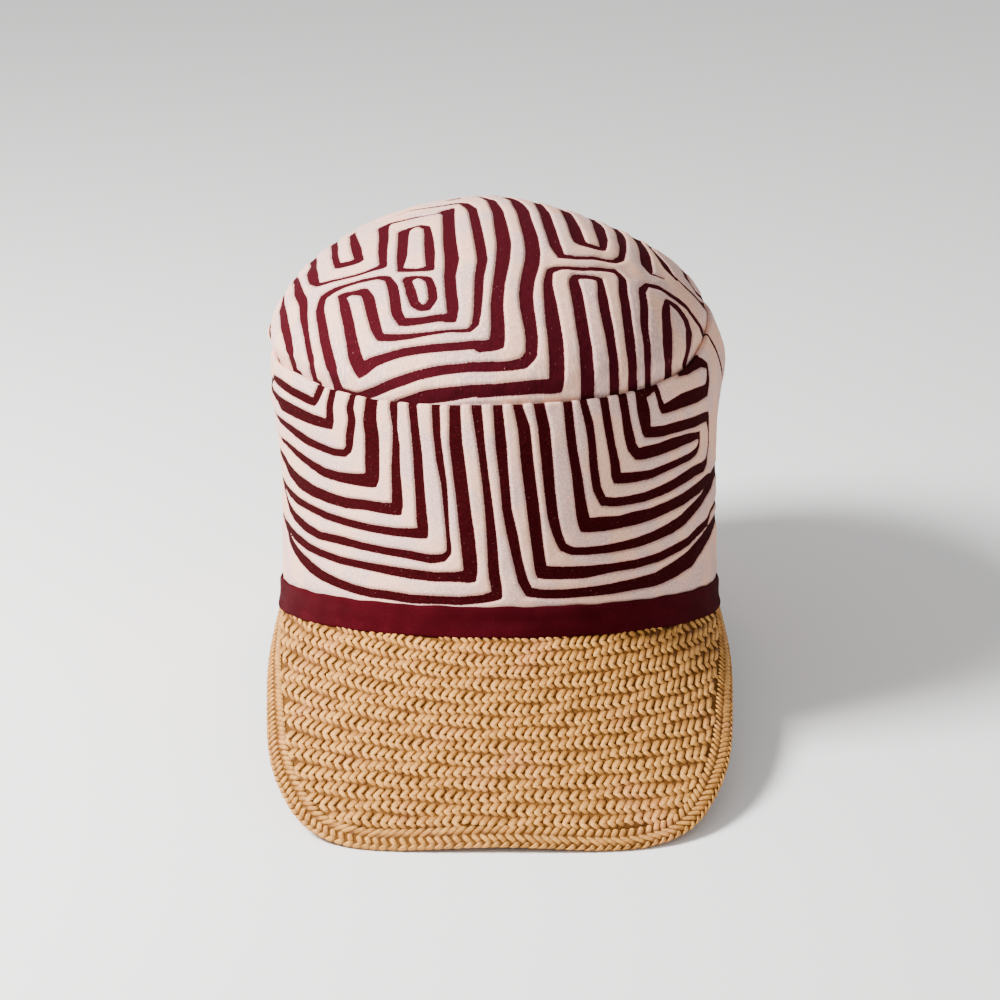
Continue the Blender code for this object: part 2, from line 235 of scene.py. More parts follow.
# %% The crown top
def crown_top(angle, turn):
    """The top's outer face: turn goes from 0 at the seam to a quarter turn at the crown.

    A point moves in by the cosine of the turn and up by its sine, with a swell above the seam.
    """
    start = offset_side(angle, 1.0, WALL_THICKNESS + CLEARANCE)
    power = 1 / of_seam(angle, "full")
    in_share = np.clip(np.cos(turn), 0, 1) ** power
    up_share = np.clip(np.sin(turn), 0, 1) ** power
    middle = np.array([-TOP_LEAN, 0.0, 0.0])
    climbed = up_share * TOP_RISE
    lifted = ease((climbed - WALL_THICKNESS / 2) / (4 * WALL_THICKNESS))
    swell = TOP_SWELL * of_seam(angle, "swell") * lifted * in_share
    outward = vectors(np.sin(angle), -np.cos(angle), 0 * angle)
    flat = middle + (start - middle) * in_share[..., None] + outward * swell[..., None]
    mean_height = FRONT_HEIGHT + SEAM_RISE / 2
    gone_in = 1 - in_share**2
    z = start[..., 2] * (1 - gone_in) + mean_height * gone_in + climbed
    return np.concatenate([flat[..., :2], z[..., None]], -1)


def dome(right, back):
    """The top over a round chart: radius 1 is the seam, 0 the crown, and -1 in back the front."""
    radius = np.clip(np.hypot(right, back), 1e-6, 1.0)
    angle = np.arctan2(right, -back)
    return crown_top(angle, (math.pi / 2) * (1 - radius))


def dome_normal(right, back):
    """The outward normal of the dome, from small steps over its chart."""
    step = 1e-3
    shrink = np.minimum(1.0, (1 - 2 * step) / np.maximum(np.hypot(right, back), 1e-9))
    right, back = right * shrink, back * shrink
    by_right = dome(right + step, back) - dome(right - step, back)
    by_back = dome(right, back + step) - dome(right, back - step)
    return unit(np.cross(by_right, by_back))


# %% The peak's face
def peak_face(angle, down):
    """The peak's upper face: columns that spread as they go down, bowed and cambered."""
    proud = TAPE_THICKNESS + CLEARANCE
    x = (HALF_WIDTH + proud) * np.sin(angle) * (1 + PEAK_SPREAD * down)
    root_y = -(HALF_DEPTH + proud) * np.cos(angle)
    front_y = -(HALF_DEPTH + proud) - PEAK_REACH + PEAK_BOW * np.sin(angle) ** 2
    camber = 4 * PEAK_CAMBER * down * (1 - down)
    y = root_y * (1 - down) + front_y * down - camber * math.sin(PEAK_SLOPE)
    z = -CLEARANCE - PEAK_DROP * down + camber * math.cos(PEAK_SLOPE)
    return vectors(x, y, z)


def peak_slopes(angle, down):
    """How the upper face moves with angle and with down, and its outward normal."""
    step = 1e-4
    by_angle = (peak_face(angle + step, down) - peak_face(angle - step, down)) / (2 * step)
    by_down = (peak_face(angle, down + step) - peak_face(angle, down - step)) / (2 * step)
    return by_angle, by_down, unit(np.cross(by_down, by_angle))


# %% The peak's outline
# Half the free edge: degrees round the head, and what share down the peak
PEAK_OUTLINE = np.array([
    (87.0, 0.000),
    (82.0, 0.200),
    (71.5, 0.410),
    (62.5, 0.630),
    (54.0, 0.780),
    (44.5, 0.910),
    (34.0, 0.980),
    (22.0, 1.000),
    (0.0, 0.982),
])


def evenly(path, count):
    """The same path with this many points, evenly spaced along its length on the peak."""
    solid = peak_face(path[:, 0], path[:, 1])
    steps = np.linalg.norm(np.diff(solid, axis=0), axis=1)
    along = np.concatenate([[0.0], np.cumsum(steps)])
    wanted = np.linspace(0.0, along[-1], count)
    return np.stack([np.interp(wanted, along, path[:, k]) for k in (0, 1)], -1)


def peak_outline(count, inset):
    """Angle and down along the free edge, moved in over the face by the inset."""
    degrees, downs = np.concatenate([PEAK_OUTLINE, PEAK_OUTLINE[-2::-1] * (-1, 1)]).T
    knots = np.arange(len(degrees), dtype=float)
    fine = np.linspace(0, knots[-1], 20 * len(knots))
    path = np.stack([smoothly(fine, knots, np.radians(degrees)), smoothly(fine, knots, downs)], -1)
    path = evenly(path, 4 * count)
    for _ in range(4):
        by_angle, by_down, normal = peak_slopes(path[:, 0], path[:, 1])
        along = unit(np.gradient(peak_face(path[:, 0], path[:, 1]), axis=0))
        inward = unit(np.cross(along, normal))
        moved = np.linalg.pinv(np.stack([by_angle, by_down], -1)) @ (inward * inset / 4)[..., None]
        path = path + moved[..., 0]
    path[:, 1] = np.maximum(path[:, 1], 0.0)
    return evenly(path, count)


# %% [markdown]
# ## Standing on the table
#
# Left alone, the cap tips back until it stands on the peak's front edge and on the back
# of its rim. Each new piece could be made lying flat and its object turned afterwards.
# Instead every point is turned and moved before it goes into a mesh.

# %% From the cap's own frame to the room
BORDER_SHARES = (0.0, 0.12, 0.5, 1.0)
BORDER_THICKNESSES = (0.70, 1.00, 1.00, 0.85)
PACKED_COLUMNS = 53


def border_faces():
    """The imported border's upper and lower points, in lines from its rim inwards."""
    lines = [peak_outline(PACKED_COLUMNS, BORDER_WIDTH * share) for share in BORDER_SHARES]
    angle, down = np.moveaxis(np.stack(lines), -1, 0)
    thickness = BORDER_THICKNESS * np.array(BORDER_THICKNESSES)[:, None, None]
    upper = peak_face(angle, down)
    return upper, upper - thickness * peak_slopes(angle, down)[2]


def resting_tilt():
    """The steepest fall from the rim's back to a low point of the border, and the rim's give."""
    low = border_faces()[1]
    ahead, below = HALF_DEPTH - low[..., 1], -low[..., 2]
    pressed = np.arcsin(RIM_PRESSED / np.hypot(ahead, below))
    return float((np.arctan2(below, ahead) + pressed).max())


TILT = resting_tilt()


def tilted(points):
    """Points turned about X by the tilt, so that the front comes down."""
    x, y, z = np.moveaxis(points, -1, 0)
    lean, rise = math.cos(TILT), math.sin(TILT)
    return vectors(x, y * lean + z * rise, z * lean - y * rise)


both_faces = tilted(np.stack(border_faces()))
border_low = np.array(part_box("peak_border")[0])
PLACE = border_low - both_faces.reshape(-1, 3).min(axis=0)


def in_the_room(points):
    """Tilted and moved points, with what would sink through the table pressed flat on it."""
    placed = tilted(points) + PLACE
    placed[..., 2] = np.maximum(placed[..., 2], 0.0)
    return placed


print("the cap tips back by", round(math.degrees(TILT), 2), "degrees; moved by", PLACE.round(5))

# %% [markdown]
# ## Camera, table and light
#
# The view is a long lens from straight ahead and a little above the rim. A wide lens
# close by would make the crown bulge. The lamp is a soft panel high at the left, with a
# much weaker one at the right and a pale sky, so that the left goes bright and the right
# stays rich. A pale table top runs far back and gives the cap its soft contact shadow.

# %% The camera
VIEW_RISE = math.radians(5.5)
VIEW_DISTANCE = 1.300
AIM = np.array([0.0002, 0.0, 0.039])
LENS_MM = 120.74
SENSOR_MM = 36.0
IMAGE_PIXELS = 1000
AHEAD = np.array([0.0, math.cos(VIEW_RISE), -math.sin(VIEW_RISE)])
UPWARD = np.array([0.0, math.sin(VIEW_RISE), math.cos(VIEW_RISE)])
EYE = AIM - VIEW_DISTANCE * AHEAD


def in_the_image(points):
    """Pixel column and row of points in the cap's own frame: offsets over depth, scaled."""
    away = points - EYE
    scale = IMAGE_PIXELS * LENS_MM / SENSOR_MM / (away @ AHEAD)
    middle = IMAGE_PIXELS / 2
    return vectors(middle + scale * away[..., 0], middle - scale * (away @ UPWARD))


camera = bpy.data.objects.new("camera", bpy.data.cameras.new("camera"))
camera.data.lens = LENS_MM
camera.data.sensor_width = SENSOR_MM
camera.location = tilted(EYE) + PLACE
camera.rotation_euler = (math.pi / 2 - VIEW_RISE - TILT, 0.0, 0.0)
bpy.context.scene.collection.objects.link(camera)
bpy.context.scene.camera = camera
print("camera at", [round(value, 3) for value in camera.location])


# %% Lamps, sky and table
def lamp(name, place, aim, size, watts, colour):
    """A square soft panel at a place, facing the aim."""
    panel = bpy.data.lights.new(name, "AREA")
    panel.shape = "SQUARE"
    panel.size = size
    panel.energy = watts
    panel.color = colour
    holder = bpy.data.objects.new(name, panel)
    holder.location = place
    toward = [a - b for a, b in zip(aim, place)]
    reach = math.hypot(toward[0], toward[1])
    holder.rotation_euler = (math.atan2(reach, -toward[2]), 0.0, math.atan2(-toward[0], toward[1]))
    bpy.context.scene.collection.objects.link(holder)


cap_middle = (0.0, 0.0, 0.08)
lamp("window_left", (-0.78, -0.20, 0.80), cap_middle, 0.34, 43.0, (1.0, 0.985, 0.97))
lamp("fill_right", (0.9, -1.6, 0.9), cap_middle, 0.9, 2.5, (1.0, 0.99, 0.98))

sky = bpy.data.worlds.new("pale_sky")
sky.use_nodes = True
sky.node_tree.nodes["Background"].inputs["Color"].default_value = (1.0, 0.995, 0.99, 1.0)
sky.node_tree.nodes["Background"].inputs["Strength"].default_value = 0.62
bpy.context.scene.world = sky

TABLE_HALF = 6.0
table_mesh = bpy.data.meshes.new("table_top")
corners = [(-1, -1), (1, -1), (1, 1), (-1, 1)]
table_mesh.from_pydata([(TABLE_HALF * x, TABLE_HALF * y, 0.0) for x, y in corners], [], [(0, 1, 2, 3)])
table_top = bpy.data.objects.new("table_top", table_mesh)
bpy.context.scene.collection.objects.link(table_top)
table_paint = bpy.data.materials.new("table_paint")
table_paint.use_nodes = True
table_paint.node_tree.nodes["Principled BSDF"].inputs["Base Color"].default_value = (0.93, 0.93, 0.925, 1)
table_paint.node_tree.nodes["Principled BSDF"].inputs["Roughness"].default_value = 0.85
table_mesh.materials.append(table_paint)

# %% [markdown]
# ## Meshes and materials from arrays
#
# Modelling tools would be slow for cloth with thousands of small facets. Each surface
# here is a grid of points, so its quads follow from the grid's size. A vector kept at
# every point says where on the cloth or straw it lies, in millimetres, and the materials
# read that vector, so that a weave follows the piece wherever it bends.


# %% Grids into meshes
def quads(rows, columns, wrap_rows=False, wrap_columns=False):
    """Corner numbers of the quads of a grid stored row by row."""
    r = np.arange(rows if wrap_rows else rows - 1)[:, None]
    c = np.arange(columns if wrap_columns else columns - 1)[None, :]
    next_r, next_c = (r + 1) % rows, (c + 1) % columns
    row, next_row = r * columns, next_r * columns
    return vectors(row + c, row + next_c, next_row + next_c, next_row + c).reshape(-1, 4)


def closed_tube(rows, around):
    """Quads of a tube stored loop by loop, with a flat cap folded over each end.

    A cap joins the loop's first half to its second half, which runs back opposite to it.
    """
    ends = np.arange(around // 2 - 1)
    opposite = around - 1 - ends
    cap = np.stack([ends, ends + 1, opposite - 1, opposite], -1)
    last = cap + (rows - 1) * around
    return np.concatenate([quads(rows, around, False, True), cap[:, ::-1], last])


def facing_out(points, faces):
    """The faces, each turned round if together they enclose less than nothing."""
    a, b, c, d = (points[faces[:, k]] for k in range(4))
    enclosed = (np.cross(b - a, c - a) * a).sum() + (np.cross(c - a, d - a) * a).sum()
    return faces if enclosed > 0 else faces[:, ::-1]


# %% A mesh piece from its arrays
def add_piece(name, points, faces, lay, material, packed_node):
    """A smooth mesh piece in the room, with its lay vectors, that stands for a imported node."""
    points = in_the_room(points.reshape(-1, 3))
    faces = facing_out(points, faces)
    mesh = bpy.data.meshes.new(name)
    mesh.vertices.add(len(points))
    mesh.vertices.foreach_set("co", points.astype(np.float32).ravel())
    mesh.loops.add(faces.size)
    mesh.loops.foreach_set("vertex_index", faces.astype(np.int32).ravel())
    mesh.polygons.add(len(faces))
    mesh.polygons.foreach_set("loop_start", np.arange(0, faces.size, 4, dtype=np.int32))
    mesh.attributes.new("lay", "FLOAT_VECTOR", "POINT")
    mesh.attributes["lay"].data.foreach_set("vector", lay.reshape(-1, 3).astype(np.float32).ravel())
    mesh.update(calc_edges=True)
    mesh.validate()
    mesh.shade_smooth()
    mesh.materials.append(material)
    piece = bpy.data.objects.new(name, mesh)
    bpy.context.scene.collection.objects.link(piece)
    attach(piece, "root")
    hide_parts(packed_node)
    print(name, "has", len(points), "points and", 2 * len(faces), "triangles")


# %% Short words for material nodes
def new_material(name):
    material = bpy.data.materials.new(name)
    material.use_nodes = True
    return material


def node(tree, kind, inputs, output=0, **settings):
    """A node with these settings, its inputs set or linked by number, and one of its outputs."""
    made = tree.nodes.new("ShaderNode" + kind)
    for name, value in settings.items():
        setattr(made, name, value)
    for place, value in inputs.items():
        if isinstance(value, bpy.types.NodeSocket):
            tree.links.new(value, made.inputs[place])
        else:
            made.inputs[place].default_value = value
    return made.outputs[output]


def lay_of(material):
    """The lay vector's three values."""
    lay = node(material.node_tree, "Attribute", {}, output=1, attribute_name="lay")
    return [node(material.node_tree, "SeparateXYZ", {0: lay}, output=k) for k in range(3)]


def object_place(material):
    """The place on the piece, for patterns that follow no line or thread."""
    return node(material.node_tree, "TexCoord", {}, output=3)


def sums(operation, first, second, third=0.0):
    """Each of these words adds its node beside the one that its first socket comes from."""
    return node(first.id_data, "Math", {0: first, 1: second, 2: third}, operation=operation)


def times(value, factor):
    return sums("MULTIPLY", value, factor)


def joined(x, y, z):
    return node(x.id_data, "CombineXYZ", {0: x, 1: y, 2: z})


def noise(place, scale, detail=2.0, rough=0.5):
    return node(place.id_data, "TexNoise", {0: place, 2: scale, 3: detail, 4: rough})


def between(value, low, high):
    """0 below the low value, 1 above the high one, eased between them."""
    return node(value.id_data, "MapRange", {0: value, 1: low, 2: high}, interpolation_type="SMOOTHSTEP")


def blend(share, first, second):
    """The first colour at share 0 and the second at share 1."""
    first, second = ((*c, 1.0) if isinstance(c, tuple) else c for c in (first, second))
    return node(share.id_data, "Mix", {0: share, 6: first, 7: second}, output=2, data_type="RGBA")


def tinted(colour, value, low, high, tint, most=None):
    """The colour, going over to the tint from the low value to the high, wholly or by the most."""
    share = between(value, low, high)
    return blend(share if most is None else times(share, most), colour, tint)


def finish(material, colour, roughness, height, bump_mm, specular=0.03):
    """Links colour and bump to the shader; roughness and gloss are set on it."""
    tree = material.node_tree
    shader = tree.nodes["Principled BSDF"]
    tree.links.new(colour, shader.inputs["Base Color"])
    shader.inputs["Roughness"].default_value = roughness
    shader.inputs["Specular IOR Level"].default_value = specular
    bump = node(tree, "Bump", {0: 1.0, 1: bump_mm * MM, 3: height})
    tree.links.new(bump, shader.inputs["Normal"])
    print(material.name, "has", len(tree.nodes), "nodes")


# %% [markdown]
# ## The cut pattern
#
# The crown is worked in reverse applique: the cream layer is cut along nested lines and
# its edges turned under, so that the burgundy ground shows as lines. Such nested lines
# are a common traditional pattern. An image of them can't be used, and a formula for a
# maze would not follow the real lines. So each line is a short chart of places, each
# given as its pixel in the photograph's 1000 pixel square and its width there. The chart
# is laid on the cloth through the camera, and each point of the cloth then keeps its
# distance to the nearest line.

# %% Lines on the side: column, row and width in pixels
SIDE_LINES = {
    "left_0": (
        (272, 376, 3), (281, 383, 6.5), (292, 391, 7), (303, 397, 7.5), (314, 402, 7), (318, 394, 7),
        (321, 387, 7),
    ),
    "left_1": (
        (277, 397, 5), (282, 404, 9.5), (298, 413, 10), (314, 420, 9.5), (330, 424, 9), (330, 406, 7.5),
        (332, 395, 7),
    ),
    "left_2": (
        (282, 421, 5), (295, 432, 7), (308, 441, 7), (321, 447, 6.5), (334, 452, 6.5), (345, 453, 6.5),
        (349, 449, 6.5), (350, 436, 8), (352, 420, 7.5), (350, 408, 6.5), (353, 397, 5), (355, 393, 3),
    ),
    "left_3": (
        (284, 441, 3), (297, 453, 5.5), (311, 464, 6.5), (324, 472, 8), (340, 477, 9), (359, 480, 11),
        (372, 480, 13.5), (372, 460, 14), (372, 436, 13), (370, 420, 13), (371, 406, 11.5),
    ),
    "left_4": (
        (285, 460, 7), (291, 471, 9.5), (299, 481, 10), (314, 491, 10), (330, 498, 10), (346, 503, 9.5),
        (366, 505, 9), (383, 508, 9.5), (397, 509, 11), (397, 492, 9.5), (396, 468, 8), (396, 444, 6.5),
        (395, 428, 4), (394, 410, 7),
    ),
    "left_5": (
        (284, 482, 4), (290, 492, 5.5), (298, 500, 6), (311, 508, 6), (327, 516, 6.5), (346, 522, 6.5),
        (370, 528, 6.5), (395, 532, 7), (411, 533, 8), (423, 533, 10), (422, 517, 10), (420, 492, 9),
        (418, 460, 8.5), (415, 428, 7.5), (413, 410, 7.5),
    ),
    "left_6": (
        (285, 488, 3), (289, 506, 5.5), (296, 517, 6.5), (306, 527, 7), (319, 535, 7), (340, 540, 7.5),
        (362, 546, 6.5), (386, 551, 6.5), (410, 555, 7), (431, 559, 7.5), (443, 558, 6.5), (449, 553, 4),
        (448, 533, 3), (446, 509, 4), (444, 483, 5), (440, 460, 6.5), (437, 436, 6.5), (436, 411, 7),
    ),
    "left_7": (
        (288, 525, 4), (297, 537, 6.5), (309, 547, 6.5), (321, 553, 6.5), (340, 560, 6.5), (362, 565, 6.5),
        (387, 570, 7.5), (411, 574, 8.5), (435, 577, 8), (456, 577, 8.5), (470, 576, 12), (468, 541, 13),
        (464, 509, 12), (460, 476, 12), (456, 444, 11.5), (455, 411, 9.5),
    ),
    "left_8": (
        (288, 529, 5), (290, 537, 7), (295, 548, 7.5), (301, 557, 8), (311, 567, 8.5), (322, 575, 8.5),
        (338, 583, 8), (354, 589, 7.5), (370, 593, 7.5), (387, 595, 7.5), (411, 599, 7.5), (435, 600, 7),
        (459, 601, 7), (483, 599, 7), (497, 595, 9), (494, 573, 9.5), (492, 541, 8.5), (489, 509, 7),
        (485, 476, 6), (481, 444, 6.5), (477, 411, 8.5),
    ),
    "right_1": (
        (498, 410, 8), (501, 444, 9.5), (504, 476, 8), (507, 509, 8), (512, 533, 9), (518, 562, 8),
        (523, 581, 8.5), (529, 592, 8), (543, 594, 7.5), (562, 594, 7.5), (586, 592, 8), (610, 589, 9),
        (635, 584, 10), (656, 579, 12), (675, 569, 13.5), (690, 558, 13.5), (701, 544, 12), (709, 530, 9.5),
        (715, 518, 7), (717, 503, 4),
    ),
    "right_2": (
        (519, 410, 8), (524, 428, 10.5), (527, 460, 11), (531, 492, 11), (535, 525, 11), (538, 549, 10.5),
        (542, 572, 11.5), (562, 573, 11), (586, 572, 10.5), (610, 568, 7.5), (635, 564, 7.5), (659, 557, 7.5),
        (675, 549, 7.5), (688, 541, 6.5), (699, 530, 6), (707, 521, 5), (712, 509, 2.5),
    ),
    "right_3": (
        (540, 409, 9.5), (544, 428, 10.5), (547, 460, 10.5), (550, 492, 10), (553, 517, 9.5), (557, 533, 8.5),
        (563, 547, 7.5), (572, 551, 6.5), (586, 551, 6.5), (606, 549, 7), (622, 546, 7.5), (638, 542, 8.5),
        (654, 536, 9), (669, 529, 9.5), (682, 520, 9.5), (692, 510, 8.5), (701, 499, 8), (708, 488, 6.5),
        (714, 476, 4.5),
    ),
    "right_4": (
        (568, 407, 8), (570, 428, 8.5), (573, 452, 8.5), (577, 476, 9.5), (580, 499, 10.5), (585, 525, 12.5),
        (602, 524, 13), (619, 522, 11), (635, 518, 12), (651, 514, 10.5), (667, 507, 10), (683, 499, 9.5),
        (699, 487, 8.5), (712, 473, 5),
    ),
    "right_5": (
        (584, 404, 6.5), (589, 423, 7.5), (592, 444, 7), (594, 468, 7.5), (597, 489, 8), (603, 501, 8),
        (615, 502, 7.5), (630, 500, 7.5), (644, 497, 8), (660, 491, 8.5), (676, 483, 8.5), (691, 473, 9),
        (703, 466, 8), (707, 460, 5), (708, 444, 4.5), (708, 428, 4.5), (707, 416, 8), (694, 422, 9),
        (680, 426, 9.5), (663, 431, 9.5), (647, 432, 9.5), (644, 414, 12.5), (640, 393, 10),
    ),
    "right_6": (
        (604, 400, 7.5), (607, 419, 7.5), (611, 444, 7.5), (615, 464, 8.5), (617, 478, 9.5), (635, 477, 9),
        (651, 474, 7.5), (663, 469, 6.5), (676, 463, 6), (689, 457, 5.5), (696, 451, 5), (699, 444, 3.5),
        (699, 435, 5), (689, 438, 8.5), (675, 443, 10.5), (659, 449, 11), (644, 453, 11.5), (637, 454, 10),
        (632, 447, 9.5), (628, 430, 8.5), (625, 412, 7.5), (622, 394, 7.5),
    ),
    "right_7": (
        (647, 391, 10), (655, 387, 5), (660, 401, 5), (663, 409, 7.5), (681, 401, 12.5), (697, 395, 13),
        (706, 390, 9), (708, 377, 4.5), (707, 365, 4.5), (699, 362, 9.5), (687, 370, 7.5), (675, 376, 2),
    ),
    "back_edge": (
        (713, 335, 3.5), (715, 347, 9), (714, 357, 5), (718, 369, 3.5), (718, 389, 2.5), (717, 422, 2.5),
    ),
}

# %% Lines on the top: column, row and width in pixels
TOP_LINES = {
    "tall_left": ((275, 313, 1.5), (271, 325, 6), (270, 336, 6), (269, 347, 5)),
    "left_a": (
        (284, 298, 2), (282, 307, 7.5), (284, 321, 10), (287, 334, 10), (290, 350, 9.5), (295, 368, 10),
        (299, 378, 10),
    ),
    "left_b": (
        (297, 282, 5), (298, 291, 9), (303, 302, 9.5), (304, 317, 8), (306, 333, 5.5), (309, 349, 5.5),
        (313, 370, 7), (318, 390, 7.5),
    ),
    "left_c": (
        (315, 260, 4), (312, 270, 10), (314, 280, 11), (318, 285, 4), (334, 281, 2), (354, 276, 2),
        (375, 269, 3.5), (383, 266, 6.5), (383, 252, 8.5), (384, 239, 9), (384, 228, 9), (391, 224, 4),
        (411, 219, 3), (438, 214, 2), (448, 211, 10.5), (449, 228, 11), (450, 244, 12), (452, 260, 13),
        (450, 276, 10.5), (451, 292, 10.5), (453, 309, 10.5), (452, 318, 8.5), (440, 318, 6.5),
        (419, 321, 6.5), (402, 322, 8), (397, 313, 10), (395, 299, 10), (393, 288, 9.5), (388, 279, 5.5),
        (379, 278, 3), (362, 281, 3), (346, 286, 3), (334, 291, 5), (323, 298, 7.5), (320, 309, 8),
        (322, 325, 9), (325, 341, 9.5), (330, 362, 10), (336, 382, 10), (342, 396, 10.5), (353, 400, 9),
        (366, 395, 8.5), (379, 390, 8.5), (395, 383, 9), (419, 375, 9), (443, 370, 8.5), (475, 367, 8),
        (494, 366, 8),
    ),
    "middle": (
        (470, 367, 8.5), (490, 367, 8.5), (510, 366, 8.5), (524, 363, 10), (531, 355, 10.5), (532, 340, 10.5),
        (530, 324, 11.5), (527, 307, 12.5), (526, 295, 12.5), (528, 279, 12.5), (532, 264, 13.5),
        (533, 252, 13.5), (531, 238, 13), (527, 225, 12), (523, 212, 10.5), (515, 201, 7.5), (507, 198, 3),
    ),
    "small_u": (
        (335, 245, 5.5), (335, 256, 6), (338, 266, 6.5), (348, 264, 6), (359, 260, 7.5), (357, 251, 9.5),
        (354, 242, 8), (353, 235, 4.5), (362, 228, 2), (387, 219, 3), (411, 211, 3.5), (443, 206, 3.5),
        (464, 204, 5), (472, 209, 7.5), (475.5, 222, 8.5), (479.5, 241, 9), (482.5, 260, 9), (479.5, 276, 8),
        (478.5, 296, 7.5), (477.5, 312, 6.5), (475.5, 324, 6), (470, 330, 3.5), (451, 331, 2), (427, 334, 3),
        (407, 337, 5), (391, 338, 6.5), (380, 337, 7.5), (376, 328, 10), (372, 313, 11), (369, 300, 11),
        (364.5, 292, 8), (353, 293, 3.5), (342, 297, 6.5), (345, 307, 10), (348, 321, 10.5), (352, 341, 11),
        (355, 357, 13), (361, 370, 13.5), (374, 362, 10), (388, 357, 8), (406, 352, 7.5), (427, 349, 7.5),
        (451, 347, 7.5), (475, 345, 8), (488, 345, 8.5),
    ),
    "swan": (
        (480, 348, 8.5), (497, 343, 13.5), (498, 327, 12), (497, 305, 11), (499, 284, 10.5), (503, 260, 12.5),
        (504, 243, 13), (501, 227, 12), (498, 212, 9.5), (491, 201, 6), (483, 198, 2),
    ),
    "loop_up": (
        (400, 270, 4), (402, 257, 9.5), (403, 244, 9.5), (404, 232, 9.5), (412, 228, 3), (420, 226, 2),
        (427, 228, 5.5), (429, 241, 8.5), (430, 254, 9.5), (430, 268, 7), (419, 270, 3), (400, 270, 4),
    ),
    "loop_low": (
        (407, 280, 7), (411, 292, 9), (415, 304, 8), (421, 308, 6), (428, 307, 6.5), (433, 299, 8),
        (432, 289, 8), (429, 280, 6), (419, 277, 2), (407, 280, 7),
    ),
    "seam_band": (
        (390, 406, 1.5), (403, 402, 6.5), (415, 400, 11), (427, 397, 13), (451, 394, 13), (475, 391, 11),
        (491, 390, 10.5),
    ),
    "ladder": (
        (480, 392, 11), (513, 389, 12), (538, 387, 12.5), (556, 386, 13.5), (557, 364, 14), (556, 344, 14),
        (553, 322, 13.5), (550, 300, 11), (548, 284, 8), (550, 271, 5.5), (560, 268, 3.5), (580, 269, 3.5),
        (604, 270, 3.5), (615, 272, 5), (622, 279, 7), (623.5, 294, 8.5), (626.5, 314, 8.5),
        (629.5, 339, 9), (632.5, 364, 8.5), (632.5, 396, 8.5),
    ),
    "ladder_in": (
        (587.5, 406, 13), (587.5, 372, 12.5), (585.5, 347, 12), (581.5, 322, 11.5), (577.5, 297, 11),
        (574, 282, 9.5), (575, 277, 5), (587, 277, 3.5), (600, 280, 5), (602.5, 297, 9), (606.5, 319, 9.5),
        (610.5, 339, 8.5), (613.5, 360, 8.5), (614.5, 399, 8.5),
    ),
    "upper_u": (
        (537, 202, 5), (544.5, 213, 8.5), (550.5, 230, 10), (555.5, 246, 9.5), (561, 256, 6), (574, 258, 3.5),
        (597, 259, 3.5), (614, 262, 3.5), (621, 259, 6), (623, 249, 6), (621, 238, 7.5), (616, 227, 7.5),
        (607, 220, 2.5),
    ),
    "upper_u_in": (
        (557, 205, 2.5), (566, 212, 8.5), (573, 225, 10), (580, 242, 11), (589, 246, 6.5), (603, 249, 5.5),
        (602, 238, 9.5), (599, 228, 9.5), (594, 220, 7.5), (588, 214, 2.5),
    ),
    "right_a": (
        (633, 234, 2), (640, 243, 8), (645, 255, 9.5), (647, 268, 10.5), (650, 274, 2), (664, 279, 1),
    ),
    "right_b": ((655, 253, 2), (662, 262, 7.5), (668, 271, 8.5), (675, 279, 3.5)),
    "right_edge": ((677, 279, 2.5), (687, 289, 3.5), (697, 299, 4.5), (707, 310, 5)),
    "arch": (
        (648, 389, 6), (647, 347, 6.5), (644, 322, 7), (644, 304, 7.5), (642, 291, 7), (647, 285, 4),
        (659, 288, 4.5), (672, 296, 5.5), (686, 307, 6.5), (697, 322, 6.5), (703, 334, 6), (706, 345, 4.5),
    ),
    "arch_in": (
        (668, 381, 10), (668, 355, 10.5), (667, 330, 10.5), (666, 312, 8.5), (667, 301, 4.5), (677, 308, 8.5),
        (685, 320, 8.5), (689, 332, 8.5), (688, 347, 8.5), (684, 364, 7.5),
    ),
}


# %% Places along a charted line
LINE_STEP = 4.0
CURVED_SHARE = 0.25


def along_the_line(line):
    """The line's places every few pixels, between straight runs and a smooth curve."""
    charted = np.array(line, float)
    steps = np.linalg.norm(np.diff(charted[:, :2], axis=0), axis=1)
    reached = np.concatenate([[0.0], np.cumsum(steps)])
    parts = np.maximum(1, np.round(steps / LINE_STEP)).astype(int)
    ends = zip(reached[:-1], reached[1:], parts)
    wanted = np.concatenate([np.linspace(a, b, n, endpoint=False) for a, b, n in ends] + [reached[-1:]])
    curved = np.stack([smoothly(wanted, reached, charted[:, k]) for k in range(3)], -1)
    straight = np.stack([np.interp(wanted, reached, charted[:, k]) for k in range(3)], -1)
    return straight + CURVED_SHARE * (curved - straight)


# %% From a pixel to the cloth
NEWTON_DAMPING = 20.0
WIDEST_STRETCH = 1.25


def shares_of(step, by_first, by_second, damping):
    """How much of the first and of the second move comes nearest the step, by least squares."""
    moves = np.stack([by_first, by_second], -1)
    squared = np.swapaxes(moves, 1, 2) @ moves + damping * np.eye(2)
    return np.linalg.solve(squared, np.swapaxes(moves, 1, 2) @ step[..., None])[..., 0]


